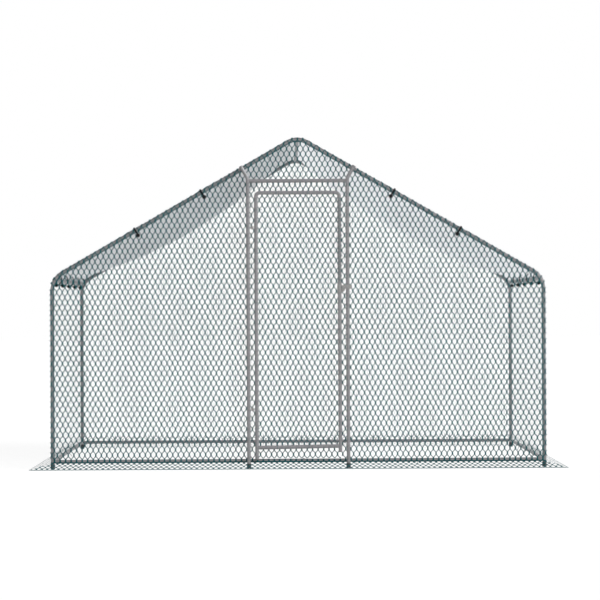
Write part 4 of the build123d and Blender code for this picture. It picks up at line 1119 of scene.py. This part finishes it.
def build_door_lacing():
    """Two lacing wires round the latch stile above the latch, and ties on the rest of the door."""
    lacing = TubeSet()
    height = LACING_TOP - LACING_FOOT
    z = np.linspace(LACING_FOOT, LACING_TOP, int(height / ROW * LACING_STEPS))
    for hand, layer in ((1, 1), (-1, 3)):
        turn = hand * (z - LACING_FOOT) / ROW * 2 * math.pi
        radius = DOOR_TUBE_R + layer * LACING_R
        back = DOOR_Y + np.maximum(np.sin(turn), 0) * LACING_ROOM * FRONT_WIRE[1]
        line = np.stack([STILE_X + radius * np.cos(turn), back + radius * np.sin(turn), z], -1)
        lacing.add(line, UP, LACING_R, TIE_SIDES)
    lacing.piece("door_lacing", "door")
    ties = TubeSet()
    add_door_tie = partial(add_tie, ties, outward=BACK, tube_r=DOOR_TUBE_R)
    for side, heights in ((-1, HINGE_STILE_TIES), (1, LATCH_STILE_TIES)):
        for z in heights:
            add_door_tie((side * STILE_X, DOOR_Y, z), UP, tail=(-side, 0.6, 0.1))
    for x in DOOR_RAIL_TIES:
        add_door_tie((x, DOOR_Y, DOOR_TOP), RIGHT, tail=(0, 0.6, -1))
        rail_z = DOOR_RAIL_Z + x / STILE_X * DOOR_RAIL_SKEW / 2
        add_door_tie((x, DOOR_Y, rail_z), RIGHT, tail=(0, 0.6, 1))
    ties.piece("door_net_ties", "door")


build_nets()
build_aprons()
build_cover()
build_bungees()
build_ties()
build_door_lacing()

# Sizes of the floor, light and camera
WHITE = (1.0, 1.0, 1.0, 1.0)
FLOOR_HALF = 60.0
FLOOR_DROP = 0.0005  # below the feet
FLOOR_PALE = 0.82  # the floor as it lights the object
FLOOR_SHADE = 0.18  # the floor as it is seen, over its glow
FLOOR_GLOW = 0.86
WORLD_LIGHT = 0.52
SUN_STRENGTH = 2.35
SUN_ANGLE = math.radians(25)
SUN_FROM = Vector((0.9, -0.3, 0.6))
CAMERA_PLACE = Vector((-0.0913, -14.416, 0.954))
CAMERA_LENS = 132.96
CAMERA_SENSOR = 36.0
CAMERA_FAR = 200.0
CAMERA_YAW = 0.0077  # to the right
CAMERA_PITCH = 0.00467  # upward
CAMERA_ROLL = -0.00507

# A pale floor that keeps the object's shadow
corners = FLOOR_HALF * np.array([(-1, -1, 0), (1, -1, 0), (1, 1, 0), (-1, 1, 0)])
floor = add_object("floor", make_mesh("floor", corners, [np.array([[0, 1, 2, 3]])]))
floor.location.z = -FLOOR_DROP
finish = Finish("floor", Roughness=0.9, Specular_IOR_Level=0.0, Emission_Color=WHITE)
seen = finish.seen()
finish.set("Base Color", finish.ramp(seen, (0.0, (FLOOR_PALE,) * 3), (1.0, (FLOOR_SHADE,) * 3)))
finish.set("Emission Strength", finish.range(seen, 0.0, FLOOR_GLOW))
floor.data.materials.append(finish.material)

# A soft sun from the right, and a world that is white where it is seen
world = bpy.data.worlds.new("studio")
bpy.context.scene.world = world
world.use_nodes = True
tree = NodeTree(world.node_tree)
background = tree.nodes["Background"].inputs
tree.feed(background["Color"], WHITE)
tree.feed(background["Strength"], tree.range(tree.seen(), WORLD_LIGHT, 1.0))
lamp = bpy.data.lights.new("sun", "SUN")
lamp.energy = SUN_STRENGTH
lamp.angle = SUN_ANGLE
sun = add_object("sun", lamp)
sun.rotation_mode = "QUATERNION"
sun.rotation_quaternion = SUN_FROM.to_track_quat("Z", "Y")

# The camera of the photo
data = bpy.data.cameras.new("camera")
data.lens = CAMERA_LENS
data.sensor_width = CAMERA_SENSOR
data.clip_end = CAMERA_FAR
camera = add_object("camera", data)
turn = Matrix.Rotation(-CAMERA_YAW, 4, "Z") @ Matrix.Rotation(math.pi / 2 + CAMERA_PITCH, 4, "X")
roll = Matrix.Rotation(CAMERA_ROLL, 4, "Z")
camera.matrix_world = Matrix.Translation(CAMERA_PLACE) @ turn @ roll
bpy.context.scene.camera = camera
bpy.context.scene.view_settings.view_transform = "Standard"
